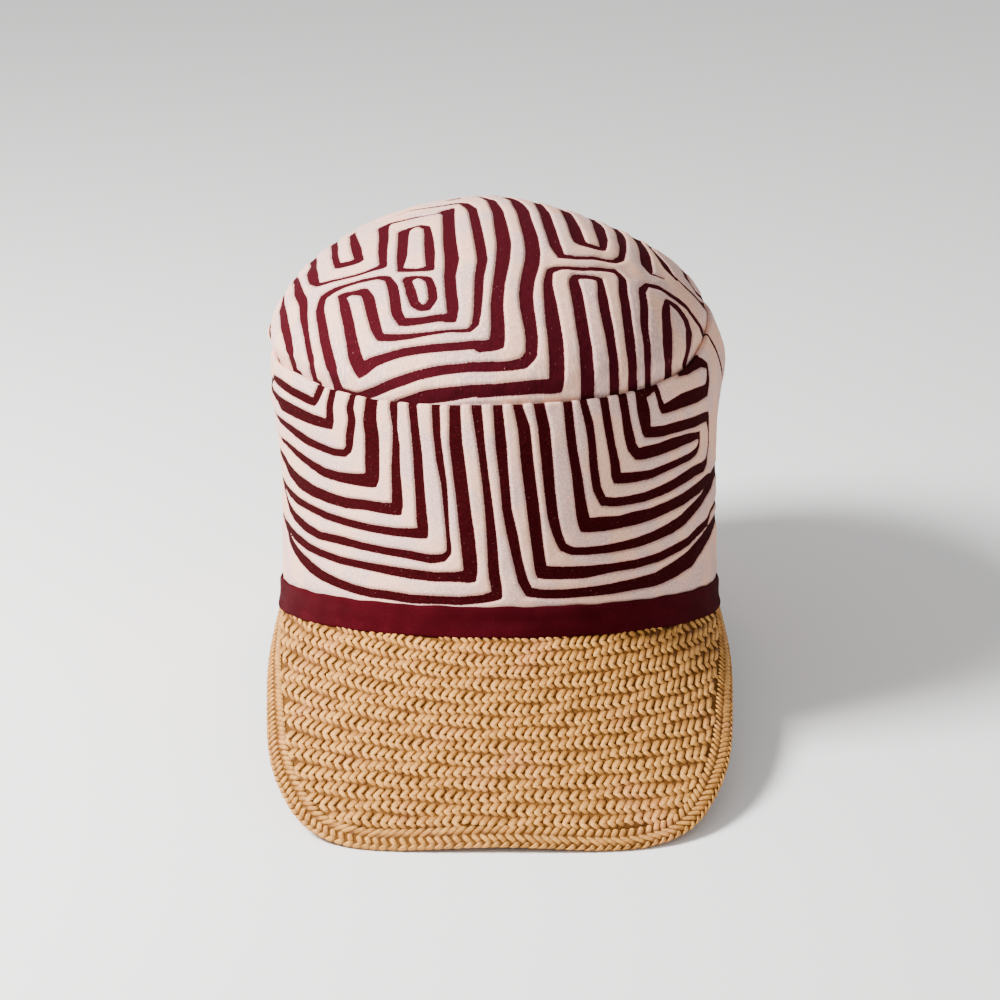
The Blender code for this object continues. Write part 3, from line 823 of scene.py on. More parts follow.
def places_under(pixels, surface, low, high, counts):
    """The surface's two parameters at each pixel.

    It starts from the nearest point of a net over the surface and closes in by Newton's
    method: the miss in pixels, divided by how the image moves with each parameter.
    """
    ranges = [np.linspace(a, b, count) for a, b, count in zip(low, high, counts)]
    net = np.stack(np.meshgrid(*ranges, indexing="ij"), -1).reshape(-1, 2)
    seen = in_the_image(surface(net[:, 0], net[:, 1]))
    groups = np.array_split(pixels, max(1, len(pixels) // 200))
    nearest = [((group[:, None] - seen[None]) ** 2).sum(-1).argmin(1) for group in groups]
    place = net[np.concatenate(nearest)]
    cell = (np.array(high) - np.array(low)) / (np.array(counts) - 1)
    step = 1e-3
    for _ in range(6):
        here = in_the_image(surface(place[:, 0], place[:, 1]))
        by_first = in_the_image(surface(place[:, 0] + step, place[:, 1])) - here
        by_second = in_the_image(surface(place[:, 0], place[:, 1] + step)) - here
        move = shares_of(pixels - here, by_first / step, by_second / step, NEWTON_DAMPING)
        place = np.clip(place + np.clip(move, -cell, cell), low, high)
    return place


def half_widths(line, places, surface, low):
    """Half the line's real width.

    A step of half its pixels across the line is carried to the cloth, and the part of it
    that runs square to the line there is taken.
    """
    heading = unit(np.gradient(line[:, :2], axis=0))
    across = np.stack([-heading[:, 1], heading[:, 0]], -1) * line[:, 2:] / 2
    here = surface(places[:, 0], places[:, 1])
    step = 1e-3
    by_first = surface(places[:, 0] + step, places[:, 1]) - here
    by_second = surface(places[:, 0], np.maximum(places[:, 1] - step, low[1])) - here
    image = in_the_image(here)
    seen = (in_the_image(here + move) - image for move in (by_first, by_second))
    share = shares_of(across, *seen, 1e-6)
    carried = share[:, :1] * by_first + share[:, 1:] * by_second
    laid_heading = unit(np.gradient(here, axis=0))
    square = carried - (carried * laid_heading).sum(1, keepdims=True) * laid_heading
    reach = np.linalg.norm(square, axis=1)
    plain = line[:, 2] / 2 * VIEW_DISTANCE * SENSOR_MM / (LENS_MM * IMAGE_PIXELS)
    return np.clip(reach, plain, WIDEST_STRETCH * plain)


# %% Lay all the lines
def lay_lines(lines, surface, low, high, counts):
    """Each line as its two surface parameters and its half width, in one array a line."""
    drawn = {name: along_the_line(line) for name, line in lines.items()}
    together = np.concatenate(list(drawn.values()))
    places = places_under(together[:, :2], surface, low, high, counts)
    ends = np.cumsum([len(line) for line in drawn.values()])[:-1]
    laid = {}
    for (name, line), place in zip(drawn.items(), np.split(places, ends)):
        half = half_widths(line, place, surface, low)
        laid[name] = np.concatenate([place, half[:, None]], 1)
    seen = in_the_image(surface(places[:, 0], places[:, 1]))
    missed = np.linalg.norm(seen - together[:, :2], axis=1)
    print(len(together), "places, off by", missed.mean().round(2), "pixels on average")
    print("and by", missed.max().round(1), "at most")
    return laid


SIDE_LOW, SIDE_HIGH = (math.radians(-88), 0.02), (math.radians(88), 1.03)
TOP_LOW, TOP_HIGH = (-1.0, -1.0), (1.0, 0.05)
side_lines = lay_lines(SIDE_LINES, crown_side, SIDE_LOW, SIDE_HIGH, (177, 60))
top_lines = lay_lines(TOP_LINES, dome, TOP_LOW, TOP_HIGH, (161, 85))

# %% [markdown]
# ## Lines where the photograph doesn't reach
#
# The back of the crown has to come from somewhere. A blank back would look unfinished,
# and new lines would need their own chart. Worked cloth of this kind is often folded and
# cut in mirrored fields. So the left field is mirrored about the left side, the right
# field about its own cream strip, stretched until it meets the left one behind, and the
# top from front to back. Two blank fields on the top's middle line get a line each.

# %% The ends of the lines
NEAR_SEAM, OVER_SEAM = 0.93, 1.07
OUTLINE_FROM, OUTLINE_WIDTH = math.radians(66), math.radians(12)
AVERAGED = 9


def with_end(line, end, beyond):
    """The line with one more place, before its first or after its last."""
    return np.insert(line, 0 if end == 0 else len(line), beyond, axis=0)


def steadied(line):
    """Near the outline a pixel is several degrees wide, so angles there are averaged along."""
    padded = np.pad(line[:, 0], AVERAGED // 2, mode="edge")
    mean = np.convolve(padded, np.ones(AVERAGED) / AVERAGED, "valid")
    share = ease((np.abs(line[:, 0]) - OUTLINE_FROM) / OUTLINE_WIDTH)
    return np.stack([line[:, 0] + share * (mean - line[:, 0]), line[:, 1], line[:, 2]], -1)


def over_the_seam(line):
    """The line, run on straight over the fold at each end that nearly reaches the seam."""
    for end, before in ((0, 3), (-1, -4)):
        if line[end, 1] > NEAR_SEAM:
            slope = (line[end, :2] - line[before, :2]) / max(line[end, 1] - line[before, 1], 0.01)
            beyond = line[end] + np.append(slope * (OVER_SEAM - line[end, 1]), 0.0)
            beyond[0] = np.clip(beyond[0], line[end, 0] - 0.04, line[end, 0] + 0.04)
            line = with_end(line, end, beyond)
    return line


side_lines = {name: over_the_seam(steadied(line)) for name, line in side_lines.items()}

# The edge line lies so near the outline that its places waver, so it is drawn straight
edge_line = side_lines["back_edge"][np.argsort(side_lines["back_edge"][:, 1])]
edge_line[:, 0] = np.polyval(np.polyfit(edge_line[:, 1], edge_line[:, 0], 1), edge_line[:, 1])
edge_line[:, 2] = edge_line[:, 2].mean()
side_lines["back_edge"] = edge_line
print("the edge line runs from", edge_line[0].round(4), "to", edge_line[-1].round(4))

# %% The side's mirrored fields
LEFT_MIRROR, RIGHT_MIRROR, EDGE_MIRROR = np.radians([-90, 82, 90])
LEFT_GAP, RIGHT_GAP = np.radians([9, 5])
RIGHT_STRETCH = (math.pi - RIGHT_MIRROR) / RIGHT_MIRROR
OPEN_AT_THE_RIGHT = ("right_1", "right_2", "right_3", "right_4")


def run_to(mirror, gap, line, end):
    """The line cut off at a gap before the mirror, and run on to it at half its slope there."""
    line = line[(mirror - line[:, 0]) * np.sign(mirror) > gap]
    last, before = (line[0], line[5]) if end == 0 else (line[-1], line[-6])
    slope = (last[1] - before[1]) / (last[0] - before[0])
    height = last[1] + 0.5 * slope * (mirror - last[0])
    return with_end(line, end, np.array([mirror, np.clip(height, 0.0, 1.03), last[2]]))


def and_mirrored(line, mirror, stretch=1.0):
    """The line and its image: the angle past the mirror is the angle before it, stretched."""
    return [line, np.stack([mirror + stretch * (mirror - line[:, 0]), line[:, 1], line[:, 2]], -1)]


all_side_lines = []
for name, line in side_lines.items():
    if name.startswith("left"):
        all_side_lines += and_mirrored(run_to(LEFT_MIRROR, LEFT_GAP, line, 0), LEFT_MIRROR)
    elif name.startswith("right"):
        if name in OPEN_AT_THE_RIGHT:
            line = run_to(RIGHT_MIRROR, RIGHT_GAP, line, -1)
        all_side_lines += and_mirrored(line, RIGHT_MIRROR, RIGHT_STRETCH)
    else:
        all_side_lines += and_mirrored(line, EDGE_MIRROR)
print(len(all_side_lines), "lines on the side")

# %% The top's mirrored fields
BEFORE_MIDDLE, NEAR_MIDDLE = -0.035, -0.16

# Right, back and half width in mm
FIELD_LINES = (
    ((-0.30, 0.0, 1.2), (-0.21, -0.035, 1.3), (-0.12, -0.065, 1.4), (-0.10, -0.03, 1.4), (-0.10, 0.0, 1.4)),
    ((0.74, 0.0, 1.3), (0.74, -0.085, 1.3), (0.79, -0.105, 1.2), (0.85, -0.07, 1.2), (0.885, 0.0, 1.2)),
)


def reach_the_middle(line):
    """The line without its last wavering places, run on straight to the top's middle line."""
    line = line[line[:, 1] < BEFORE_MIDDLE]
    for end, before in ((0, 2), (-1, -3)):
        if line[end, 1] > NEAR_MIDDLE:
            slope = (line[end, 0] - line[before, 0]) / max(line[end, 1] - line[before, 1], 0.02)
            aside = np.clip(-slope * line[end, 1], -0.05, 0.05)
            line = with_end(line, end, np.array([line[end, 0] + aside, 0.0, line[end, 2]]))
    return line


all_top_lines = [reach_the_middle(line) for line in top_lines.values()]
all_top_lines += [np.array(line) * (1.0, 1.0, MM) for line in FIELD_LINES]
all_top_lines = [image for line in all_top_lines for image in (line, line * (1.0, -1.0, 1.0))]
print(len(all_top_lines), "lines on the top")

# %% The distance to the nearest line
FARTHEST = 4.0 * MM
RUN = 6
LINE_SPREAD = 0.20 * MM
CORNER_POINT = 0.4


def corner_spurs(solid, half):
    """Start, end and half widths of a short spur into the outer side of each sharp corner.

    The spur narrows as it leaves the corner, so that both sides of the line run on
    straight until they nearly meet, as two cuts in cloth do.
    """
    heading = unit(np.diff(solid, axis=0))
    before, after = heading[:-1], heading[1:]
    alike = (before * after).sum(1)
    sharp = (alike < 0.70) & (alike > -0.50)
    outward = unit(before[sharp] - after[sharp])
    half = half[1:-1][sharp]
    reach = (1 - CORNER_POINT) * half / np.sqrt((1 + alike[sharp]) / 2)
    start = solid[1:-1][sharp]
    return start, start + reach[:, None] * outward, half, CORNER_POINT * half


def distance_to_lines(points, lines, surface):
    """How far each point lies outside the nearest line, below zero inside it.

    For a short stretch of a line it is the distance to the stretch less the half width
    there. Lines are taken in runs of a few stretches, each only with the points near it.
    """
    field = np.full(len(points), FARTHEST)
    for line in lines:
        solid, halves = surface(line[:, 0], line[:, 1]), line[:, 2] + LINE_SPREAD
        stretches = (solid[:-1], solid[1:], halves[:-1], halves[1:])
        starts, ends, halves, half_ends = (
            np.concatenate(both) for both in zip(stretches, corner_spurs(solid, halves))
        )
        for first in range(0, len(starts), RUN):
            run = slice(first, first + RUN)
            start, end, half, half_end = starts[run], ends[run], halves[run], half_ends[run]
            margin = FARTHEST + max(half.max(), half_end.max())
            low = np.minimum(start, end).min(0) - margin
            high = np.maximum(start, end).max(0) + margin
            near = np.flatnonzero(((points > low) & (points < high)).all(1))
            stretch = end - start
            away = points[near][:, None] - start[None]
            share = (away * stretch).sum(-1) / np.maximum((stretch**2).sum(-1), 1e-12)
            share = np.clip(share, 0, 1)
            gap = np.linalg.norm(away - share[..., None] * stretch, axis=-1)
            gap = gap - half - share * (half_end - half)
            if near.size:
                field[near] = np.minimum(field[near], gap.min(1))
    return field


# %% [markdown]
# ## Cloth with a cut pattern
#
# One material serves the side and the top. The lay vector's first value is the distance
# to the nearest line in millimetres, so a narrow step at zero divides burgundy from
# cream, a little noise gives it the nibbled look of a hand cut edge, and the turned edge
# gets a pink shade where the ground shines through. Fine crossed slubs stand for the
# plain weave, both in colour and as bump.


# %% The applique cloth
CREAM, LILAC_CREAM, LIT_SLUB = (0.76, 0.425, 0.300), (0.57, 0.365, 0.355), (0.92, 0.60, 0.46)
TURNED_EDGE = (0.60, 0.29, 0.26)
DEEP_WINE, SLUB_WINE = (0.013, 0.0005, 0.0010), (0.040, 0.0018, 0.0034)
PAINTED_SHEEN_WINE, WINE_SPECK = (0.105, 0.0105, 0.0220), (0.30, 0.13, 0.12)

# Past this many mm round the wine gets a painted sheen, lighter as if lit from above:
# at the side's right rear and all over the top, whose lay is moved on by more than that
PAINTED_SHEEN_FROM = 180.0
TOP_MOVED = 300.0


def applique_cloth():
    """Cream over wine: a step at the lines' nibbled edge, crossed slubs, a pink turned edge."""
    cloth = new_material("applique_cotton")
    inside, around, up = lay_of(cloth)
    place = joined(around, up, 0.0)
    nibble = sums("MULTIPLY_ADD", noise(place, 1.7, 3.0, 0.65), 0.80, -0.40)
    edge = sums("ADD", inside, nibble)
    warp = noise(joined(times(around, 3.2), up, 0.0), 0.8, 3.0, 0.6)
    weft = noise(joined(around, times(up, 3.2), 5.0), 0.8, 3.0, 0.6)
    slubs = sums("ADD", warp, weft)
    broad = noise(place, 0.055)
    cream = tinted(CREAM, broad, 0.42, 0.58, LILAC_CREAM)
    cream = tinted(cream, slubs, 0.90, 1.22, LIT_SLUB)
    cream = tinted(cream, edge, 0.75, 0.10, TURNED_EDGE, most=0.55)
    wine = tinted(DEEP_WINE, slubs, 0.75, 1.25, SLUB_WINE)
    # Painted sheen: the wine goes lighter on the top and at the side's right rear
    wine = tinted(wine, around, PAINTED_SHEEN_FROM - 1, PAINTED_SHEEN_FROM, PAINTED_SHEEN_WINE, most=0.22)
    speck = noise(joined(around, times(up, 0.7), 9.0), 2.6, 1.0, 0.4)
    wine = tinted(wine, speck, 0.76, 0.82, WINE_SPECK)
    colour = tinted(wine, edge, -0.10, 0.12, cream)
    pillow = between(edge, -0.25, 0.9)
    height = sums("MULTIPLY_ADD", slubs, 0.34, times(pillow, 0.9))
    finish(cloth, colour, 0.92, height, 0.55)
    return cloth


cotton = applique_cloth()

# %% [markdown]
# ## Crown side
#
# The side is one ring of doubled cloth from the rim to the seam, with its edge folded
# over. It could be a tube with Solidify, but the fold and the hidden inside need their
# own rows. The outer rows are close together, and the columns closer at the front than
# behind, so that the distance to the lines stays sharp between them. Cream stands a
# little proud of the burgundy, as a second layer does.

# %% Round the head
SIDE_COLUMNS, SIDE_ROWS, INNER_ROWS = 760, 108, 8
FRONT_CLOSER = 0.30
OVAL_LONGER, TAPE_LONGER = 1.1, 1.13
CREAM_PROUD = 0.45 * MM
PILLOW_FROM, PILLOW_WIDTH = -0.3 * MM, 1.5 * MM
PUCKER, FINE_PUCKER = 0.16 * MM, 0.05 * MM


def round_the_head(count):
    """Angles once round the head, closer together at the front: t less a share of its sine."""
    turn = np.linspace(-math.pi, math.pi, count, endpoint=False)
    return turn - FRONT_CLOSER * np.sin(turn)


def cloth_relief(distance, points):
    """Cream stands proud beside a line by an eased step, and all the cloth puckers a little."""
    x, y, z = np.moveaxis(points / MM, -1, 0)
    pucker = np.sin(0.31 * x + 0.23 * y + 1.7 * np.sin(0.11 * z)) * np.sin(0.27 * z - 0.19 * x + 0.6)
    fine = np.sin(0.93 * x - 0.41 * z + 0.5 * y) * np.sin(0.71 * y + 0.66 * z)
    raised = CREAM_PROUD * ease((distance - PILLOW_FROM) / PILLOW_WIDTH)
    return raised + PUCKER * pucker + FINE_PUCKER * fine


# %% Build the crown side
def build_crown_side():
    """Outer rows up to the seam, a rounded fold of five rows, and inner rows down again."""
    angle = round_the_head(SIDE_COLUMNS)[None, :]
    height = np.linspace(0.0, 1.0, SIDE_ROWS)[:, None] + 0 * angle
    face = crown_side(angle, height)
    distance = distance_to_lines(face.reshape(-1, 3), all_side_lines, crown_side)
    distance = distance.reshape(face.shape[:2])
    normal = unit(face - offset_side(angle, height, WALL_THICKNESS))
    above_tape = ease((face[..., 2] - TAPE_HEIGHT) / (2 * MM))
    relief = cloth_relief(distance, face) * above_tape
    outer = face + relief[..., None] * normal
    inner_height = np.linspace(1.0, 0.0, INNER_ROWS)[:, None] + 0 * angle
    inner = offset_side(angle, inner_height, WALL_THICKNESS)
    up = unit(face[-1] - face[-2])
    outward = unit(outer[-1] - inner[0])
    half = np.linalg.norm(outer[-1] - inner[0], axis=-1, keepdims=True) / 2
    middle = (inner[0] + outer[-1]) / 2
    bend = np.radians([30.0, 60.0, 90.0, 120.0, 150.0])[:, None, None]
    fold = middle + half * (np.cos(bend) * outward + np.sin(bend) * up)
    rings = np.concatenate([outer, fold, inner])
    ground = np.full_like(inner[..., 0], -FARTHEST)
    fold_distance = np.repeat(distance[-1:], len(fold), axis=0)
    distance = np.where(face[..., 2] < TAPE_HEIGHT / 2, -FARTHEST, distance)
    distance = np.concatenate([distance, fold_distance, ground]) / MM
    girth = (angle * HEAD_WIDTH / 2 / MM) * OVAL_LONGER
    rise = np.concatenate([face[..., 2] / MM, fold[..., 2] / MM, inner[..., 2] / MM])
    lay = vectors(distance, girth, rise)
    faces = quads(len(rings), SIDE_COLUMNS, True, True)
    add_piece("crown_side_cloth", rings, faces, lay, cotton, "crown_side")


build_crown_side()

# %% [markdown]
# ## Crown top
#
# The puffed top could be rings that meet in a pole, but rings crowd together there and
# every line would pinch. A square net pressed into a disc has cells of one size all
# over: each square ring of the net becomes a round ring. Under the seam the cloth hangs
# a little way down inside the side, and a plain inner skin closes it.

# %% A square net pressed round
NET = 262
FRONT_NET = 0.18
HEM_ROWS, TOP_RINGS = 4, 22
PRESSED_AT_SEAM = 0.035


def pressed_net(count):
    """Right and back places of a square net on the disc.

    The larger of a point's two coordinates is its radius, and the smaller one, as a share
    of it, its way along that eighth of the circle.
    """
    line = np.linspace(-1, 1, count)
    across, along = np.meshgrid(line, line - FRONT_NET * (1 - line**2))
    wide = np.abs(across) >= np.abs(along)
    radius = np.where(wide, across, along)
    safe = np.where(np.abs(radius) < 1e-9, 1e-9, radius)
    share = np.where(wide, along, across) / safe
    turn = np.where(wide, share * math.pi / 4, math.pi / 2 - share * math.pi / 4)
    return radius * np.cos(turn), radius * np.sin(turn)


def net_edge(count):
    """Numbers of the net's outer points, once round."""
    first = np.arange(count - 1)
    bottom, right = first, (first * count) + count - 1
    top, left = count * count - 1 - first, (count - 1 - first) * count
    return np.concatenate([bottom, right, top, left])


# %% Build the crown top
def build_crown_top():
    """The net, then hem rows hung inside the side, then inner rows that close in a pole."""
    right, back = pressed_net(NET)
    face = dome(right, back)
    distance = distance_to_lines(face.reshape(-1, 3), all_top_lines, dome).reshape(face.shape[:2])
    radius = np.hypot(right, back)
    free = ease((1 - radius) / PRESSED_AT_SEAM)
    outer = face + (cloth_relief(distance, face) * free)[..., None] * dome_normal(right, back)
    edge = net_edge(NET)
    edge_right, edge_back = right.ravel()[edge], back.ravel()[edge]
    angle = np.arctan2(edge_right, -edge_back)
    hem_share = np.linspace(1 / HEM_ROWS, 1.0, HEM_ROWS)[:, None]
    hem_height = 1.0 - hem_share * SEAM_ALLOWANCE / seam_height(angle)
    hem = offset_side(angle, hem_height, WALL_THICKNESS + CLEARANCE)
    inner_hem = offset_side(angle, hem_height[::-1], WALL_THICKNESS + CLEARANCE + TOP_THICKNESS)
    shrink = np.linspace(0.985, 0.02, TOP_RINGS)[:, None]
    inner_right, inner_back = shrink * edge_right, shrink * edge_back
    inner = dome(inner_right, inner_back) - TOP_THICKNESS * dome_normal(inner_right, inner_back)
    pole = inner[-1].mean(axis=0, keepdims=True)
    rings = np.concatenate([hem, inner_hem, inner])
    points = np.concatenate([outer.reshape(-1, 3), rings.reshape(-1, 3), pole])
    count = len(edge)
    starts = NET * NET + count * np.arange(len(rings))
    loops = np.concatenate([edge[None], starts[:, None] + np.arange(count)])
    after = np.roll(loops, -1, axis=1)
    bands = np.stack([loops[:-1], loops[1:], after[1:], after[:-1]], -1).reshape(-1, 4)
    last, half = loops[-1], count // 2
    pairs = np.stack([last[0::2], np.full(half, len(points) - 1), np.roll(last, -2)[0::2], last[1::2]], -1)
    faces = np.concatenate([quads(NET, NET), bands, pairs])
    skin = np.full(len(points) - NET * NET, -FARTHEST)
    skin[: 2 * count] = np.tile(distance.ravel()[edge], 2)
    inside = np.concatenate([distance.ravel(), skin])
    # The top's lay is moved on past the start of the painted sheen, so that all its wine gets it
    lay = vectors(inside / MM, points[:, 0] / MM + TOP_MOVED, points[:, 1] / MM)
    add_piece("crown_top_cloth", points, faces, lay, cotton, "crown_top")


build_crown_top()

# %% [markdown]
# ## Tape round the base
#
# A narrow herringbone tape covers the join of crown and peak. It is a thin ring whose
# lower edge lies over the straw and whose upper edge is rounded. Its weave could be
# modelled rib by rib, but the ribs are a tenth of a millimetre high, so they are bump:
# slanting ribs that change their slant at each row of the herringbone.

# %% The herringbone weave
TAPE_COLUMNS = 720
HERRINGBONE_ROW_MM, RIB_MM = 2.6, 0.95
# Painted shade for the ribs' grooves and a painted sheen for their tops
RIB_GROOVE_SHADE, RIB_TOP_SHEEN = (0.013, 0.0002, 0.0011), (0.066, 0.0016, 0.0055)
TAPE_FUZZ, TAPE_WORN = (0.090, 0.0042, 0.0098), (0.036, 0.0006, 0.0028)


def herringbone_tape():
    """Ribs as a sine of the way round, moved on by a zigzag of the way up."""
    tape = new_material("herringbone_tape")
    around, up, _ = lay_of(tape)
    zigzag = sums("PINGPONG", sums("DIVIDE", up, HERRINGBONE_ROW_MM), 1.0)
    slanted = sums("MULTIPLY_ADD", zigzag, HERRINGBONE_ROW_MM, around)
    ribs = sums("SINE", times(slanted, 2 * math.pi / RIB_MM), 0.0)
    rib_height = sums("MULTIPLY_ADD", ribs, 0.5, 0.5)
    fuzz = noise(joined(around, up, 0.0), 2.2, 3.0, 0.65)
    broad = noise(joined(around, up, 3.0), 0.09)
    # By rib height: painted shade in the grooves, painted sheen on the rib tops
    wine = blend(rib_height, RIB_GROOVE_SHADE, RIB_TOP_SHEEN)
    wine = tinted(wine, fuzz, 0.45, 0.75, TAPE_FUZZ)
    wine = tinted(wine, broad, 0.35, 0.65, TAPE_WORN)
    height = sums("MULTIPLY_ADD", fuzz, 0.4, times(rib_height, 0.7))
    finish(tape, wine, 0.8, height, 0.22)
    return tape


# %% Build the tape
def build_tape():
    """A ring: a lower edge laid over the straw, level face, rounded upper edge, flat back."""
    angle = round_the_head(TAPE_COLUMNS)[None, :]
    share = np.array([-0.07, -0.04, 0.04, 0.14, 0.3, 0.5, 0.7, 0.88, 0.94, 0.98, 1.0])[:, None]
    proud = np.array([1.30, 1.55, 1.55, 1.30, 1.0, 1.0, 1.0, 1.0, 0.85, 0.6, 0.35])[:, None]
    waver = 0.12 * MM * np.sin(23 * angle + 1.1) + 0.1 * MM * np.sin(41 * angle)
    level = (share * TAPE_HEIGHT + share * waver) / seam_height(angle)
    laid = offset_side(angle, level, -CLEARANCE)
    outward = vectors(np.sin(angle), -np.cos(angle), 0 * angle)
    slack = 1 + 0.08 * np.sin(17 * angle + 9 * share)
    outer = laid + (proud * slack * TAPE_THICKNESS)[..., None] * outward
    rings = np.concatenate([outer, laid[[-1, 0]]])
    girth = angle * HEAD_WIDTH / 2 / MM * TAPE_LONGER
    rise = np.concatenate([share, [[1.0], [0.0]]]) * TAPE_HEIGHT / MM
    lay = vectors(girth + 0 * rise, rise + 0 * girth, 0 * girth)
    faces = quads(len(rings), TAPE_COLUMNS, True, True)
    add_piece("base_tape_weave", rings, faces, lay, herringbone_tape(), "base_tape")


build_tape()

# %% [markdown]
# ## Woven straw
#
# Flat straw goes over and under in a slanting weave, so what shows is a field of short
# plump floats in zigzag rows, with small dark gaps where they dive under each other.
# A bump map would leave the peak flat at its edge, so each float is a small closed body
# with a few dozen faces: a lens that runs between two places of the weave, high at its
# knot and low where it dives. Its lay vector is its way along, its way across, and a
# number of its own that gives each float its own shade.

# %% Straw floats
FLOAT_STATIONS, FLOAT_SIDES = 6, 6
FLOAT_THICKNESS, FLOAT_SUNK = 0.58 * MM, 0.35 * MM
KNOT_LIFT, SIDE_LIFT = 0.40, -0.30


def float_bodies(path, normal, half_width, thickness):
    """Closed lenses along paths: arrays of (float, station, 3), with the lay of each point.

    The width is a blunt half oval of the way along. The height falls off sooner, and the
    whole float sinks from its knot to its far end. The section is an oval, flatter below.
    """
    share = np.linspace(-1, 1, path.shape[1])
    width = 0.42 + 0.58 * np.sqrt(np.clip(1 - np.abs(share) ** 3.4, 0, 1))
    crown = 0.22 + 0.78 * np.sqrt(np.clip(1 - np.abs(share) ** 2.0, 0, 1))
    turn = np.arange(FLOAT_SIDES) * 2 * math.pi / FLOAT_SIDES
    aside = np.cos(turn)
    above = np.where(np.sin(turn) > 0, np.sin(turn), 0.35 * np.sin(turn))
    heading = unit(np.gradient(path, axis=1))
    side = unit(np.cross(normal, heading))
    wide = (half_width[:, None] * width)[..., None, None] * aside[:, None] * side[:, :, None]
    dive = (crown - 1.0) * 0.55 - KNOT_LIFT * share
    above = above + SIDE_LIFT * aside
    tall = np.asarray(thickness).reshape(-1, 1, 1) * (crown[:, None] * above + dive[:, None])
    points = path[:, :, None] + wide + tall[..., None] * normal[:, :, None]
    length = np.linalg.norm(path[:, -1] - path[:, 0], axis=-1) / MM
    along = share * length[:, None] / 2
    own = np.modf(np.abs(np.sin(np.arange(len(path)) * 12.9898) * 43758.5453))[0]
    across = (half_width[:, None] * width / MM)[..., None] * aside
    lay = vectors(along[..., None], across, own[:, None, None] * 100)
    return points, lay


def float_faces(count):
    """The quads of each lens: its bands, and two quads over each blunt end."""
    bands = quads(FLOAT_STATIONS, FLOAT_SIDES, False, True)
    cap = np.array([(0, 1, 2, 3), (0, 3, 4, 5)])
    far = cap + (FLOAT_STATIONS - 1) * FLOAT_SIDES
    one = np.concatenate([bands, cap[:, ::-1], far])
    return (one[None] + FLOAT_STATIONS * FLOAT_SIDES * np.arange(count)[:, None, None]).reshape(-1, 4)


# %% The straw's finish
PALE_STRAW, DEEP_STRAW = (0.68, 0.320, 0.072), (0.42, 0.180, 0.036)
# A rosy tone, and a painted highlight for the floats' knots
ROSY_STRAW, STRAW_KNOT_HIGHLIGHT = (0.66, 0.27, 0.11), (0.84, 0.44, 0.125)
# Streaks, also used as painted shade along one side of each float, and painted shade for where floats dive
STRAW_STREAK_AND_SHADE, STRAW_GAP_SHADE = (0.24, 0.088, 0.016), (0.13, 0.045, 0.008)
# Painted shade for the ground seen between the floats, and its lighter fibres
GROUND_SHADE, GROUND_FIBRE = (0.085, 0.032, 0.007), (0.19, 0.078, 0.017)


def straw(name, dives):
    """Straw with a tone of its own for each float, a painted highlight at its knot,
    and painted shade where it dives and along one side.

    It dives at its far end, or at both ends if dives is 2.
    """
    material = new_material(name)
    along, across, own = lay_of(material)
    fibre = joined(times(along, 0.45), times(across, 2.0), own)
    streaks = noise(fibre, 1.0, 4.0, 0.7)
    shade = noise(joined(own, 0.0, 0.0), 3.7, 0.0)
    broad = noise(object_place(material), 38.0)
    colour = tinted(DEEP_STRAW, shade, 0.32, 0.68, PALE_STRAW)
    colour = tinted(colour, streaks, 0.46, 0.66, STRAW_STREAK_AND_SHADE, most=0.50)
    colour = tinted(colour, broad, 0.52, 0.68, ROSY_STRAW, most=0.45)
    # Painted highlight at the knot end of each float
    colour = tinted(colour, along, -0.2, -1.6, STRAW_KNOT_HIGHLIGHT, most=0.45)
    # Painted shade along one side of each float, as if in its neighbour's shadow
    colour = tinted(colour, across, 0.05, 0.95, STRAW_STREAK_AND_SHADE, most=0.60)
    # Painted shade at each float's far end where it dives, by a random share of its own
    depth = noise(joined(own, 7.0, 0.0), 5.1, 0.0)
    depth = sums("MULTIPLY_ADD", between(depth, 0.30, 0.70), 0.75, 0.25)
    colour = tinted(colour, along, 0.3, 1.7, STRAW_GAP_SHADE, most=depth)
    # Braid floats dive at both ends, so they get painted shade at both
    if dives == 2:
        colour = tinted(colour, along, -0.9, -1.9, STRAW_GAP_SHADE, most=0.45)
    finish(material, colour, 0.6, streaks, 0.35, specular=0.15)
    return material


def straw_gap_shade():
    """Painted shade for the depth between the floats: dark, with lighter fibres."""
    ground = new_material("straw_gap_shade")
    fibres = noise(object_place(ground), 900.0, 3.0, 0.6)
    finish(ground, blend(fibres, GROUND_SHADE, GROUND_FIBRE), 0.8, fibres, 0.15)
    return ground


peak_straw = straw("woven_straw", dives=1)
braid_straw = straw("straw_braid", dives=2)
gap_shade_straw = straw_gap_shade()

# %% [markdown]
# ## The peak
#
# The weave's rows lie level at the front edge and follow the tape's curve at the root.
# So a place in the weave is a row, counted up from the front edge, and a column, counted
# along the root from the middle, and both are turned into a place on the peak. From each
# knot one float slants up to the right through a tall half row, and one slants down
# through a low half row. Even half rows would look like a herringbone.

# %% The peak's weave chart
ROW_HEIGHT = 3.82 * MM
ROW_GROWTH = 0.55 * MM
GROWTH_WIDTH = 80.0 * MM
COLUMN_WIDTH = 2.75 * MM
SIDE_CROWDING = 0.30
LEAST_ROWS, MOST_ROWS = -2, 19
FACE_DROP = 0.55 * MM


def root_columns():
    """Column number against angle along the root.

    Columns are even across the front view, and widen towards the ends, where the root
    runs back: the step is the root of the summed squares of its width and of a share of
    its depth.
    """
    angle = np.linspace(-math.pi / 2, math.pi / 2, 721)
    pace = np.hypot(HALF_WIDTH * np.cos(angle), SIDE_CROWDING * HALF_DEPTH * np.sin(angle))
    counted = np.concatenate([[0.0], np.cumsum((pace[1:] + pace[:-1]) / 2 * np.diff(angle))])
    return angle, (counted - counted[-1] / 2) / COLUMN_WIDTH


ROOT_ANGLES, ROOT_COLUMNS = root_columns()


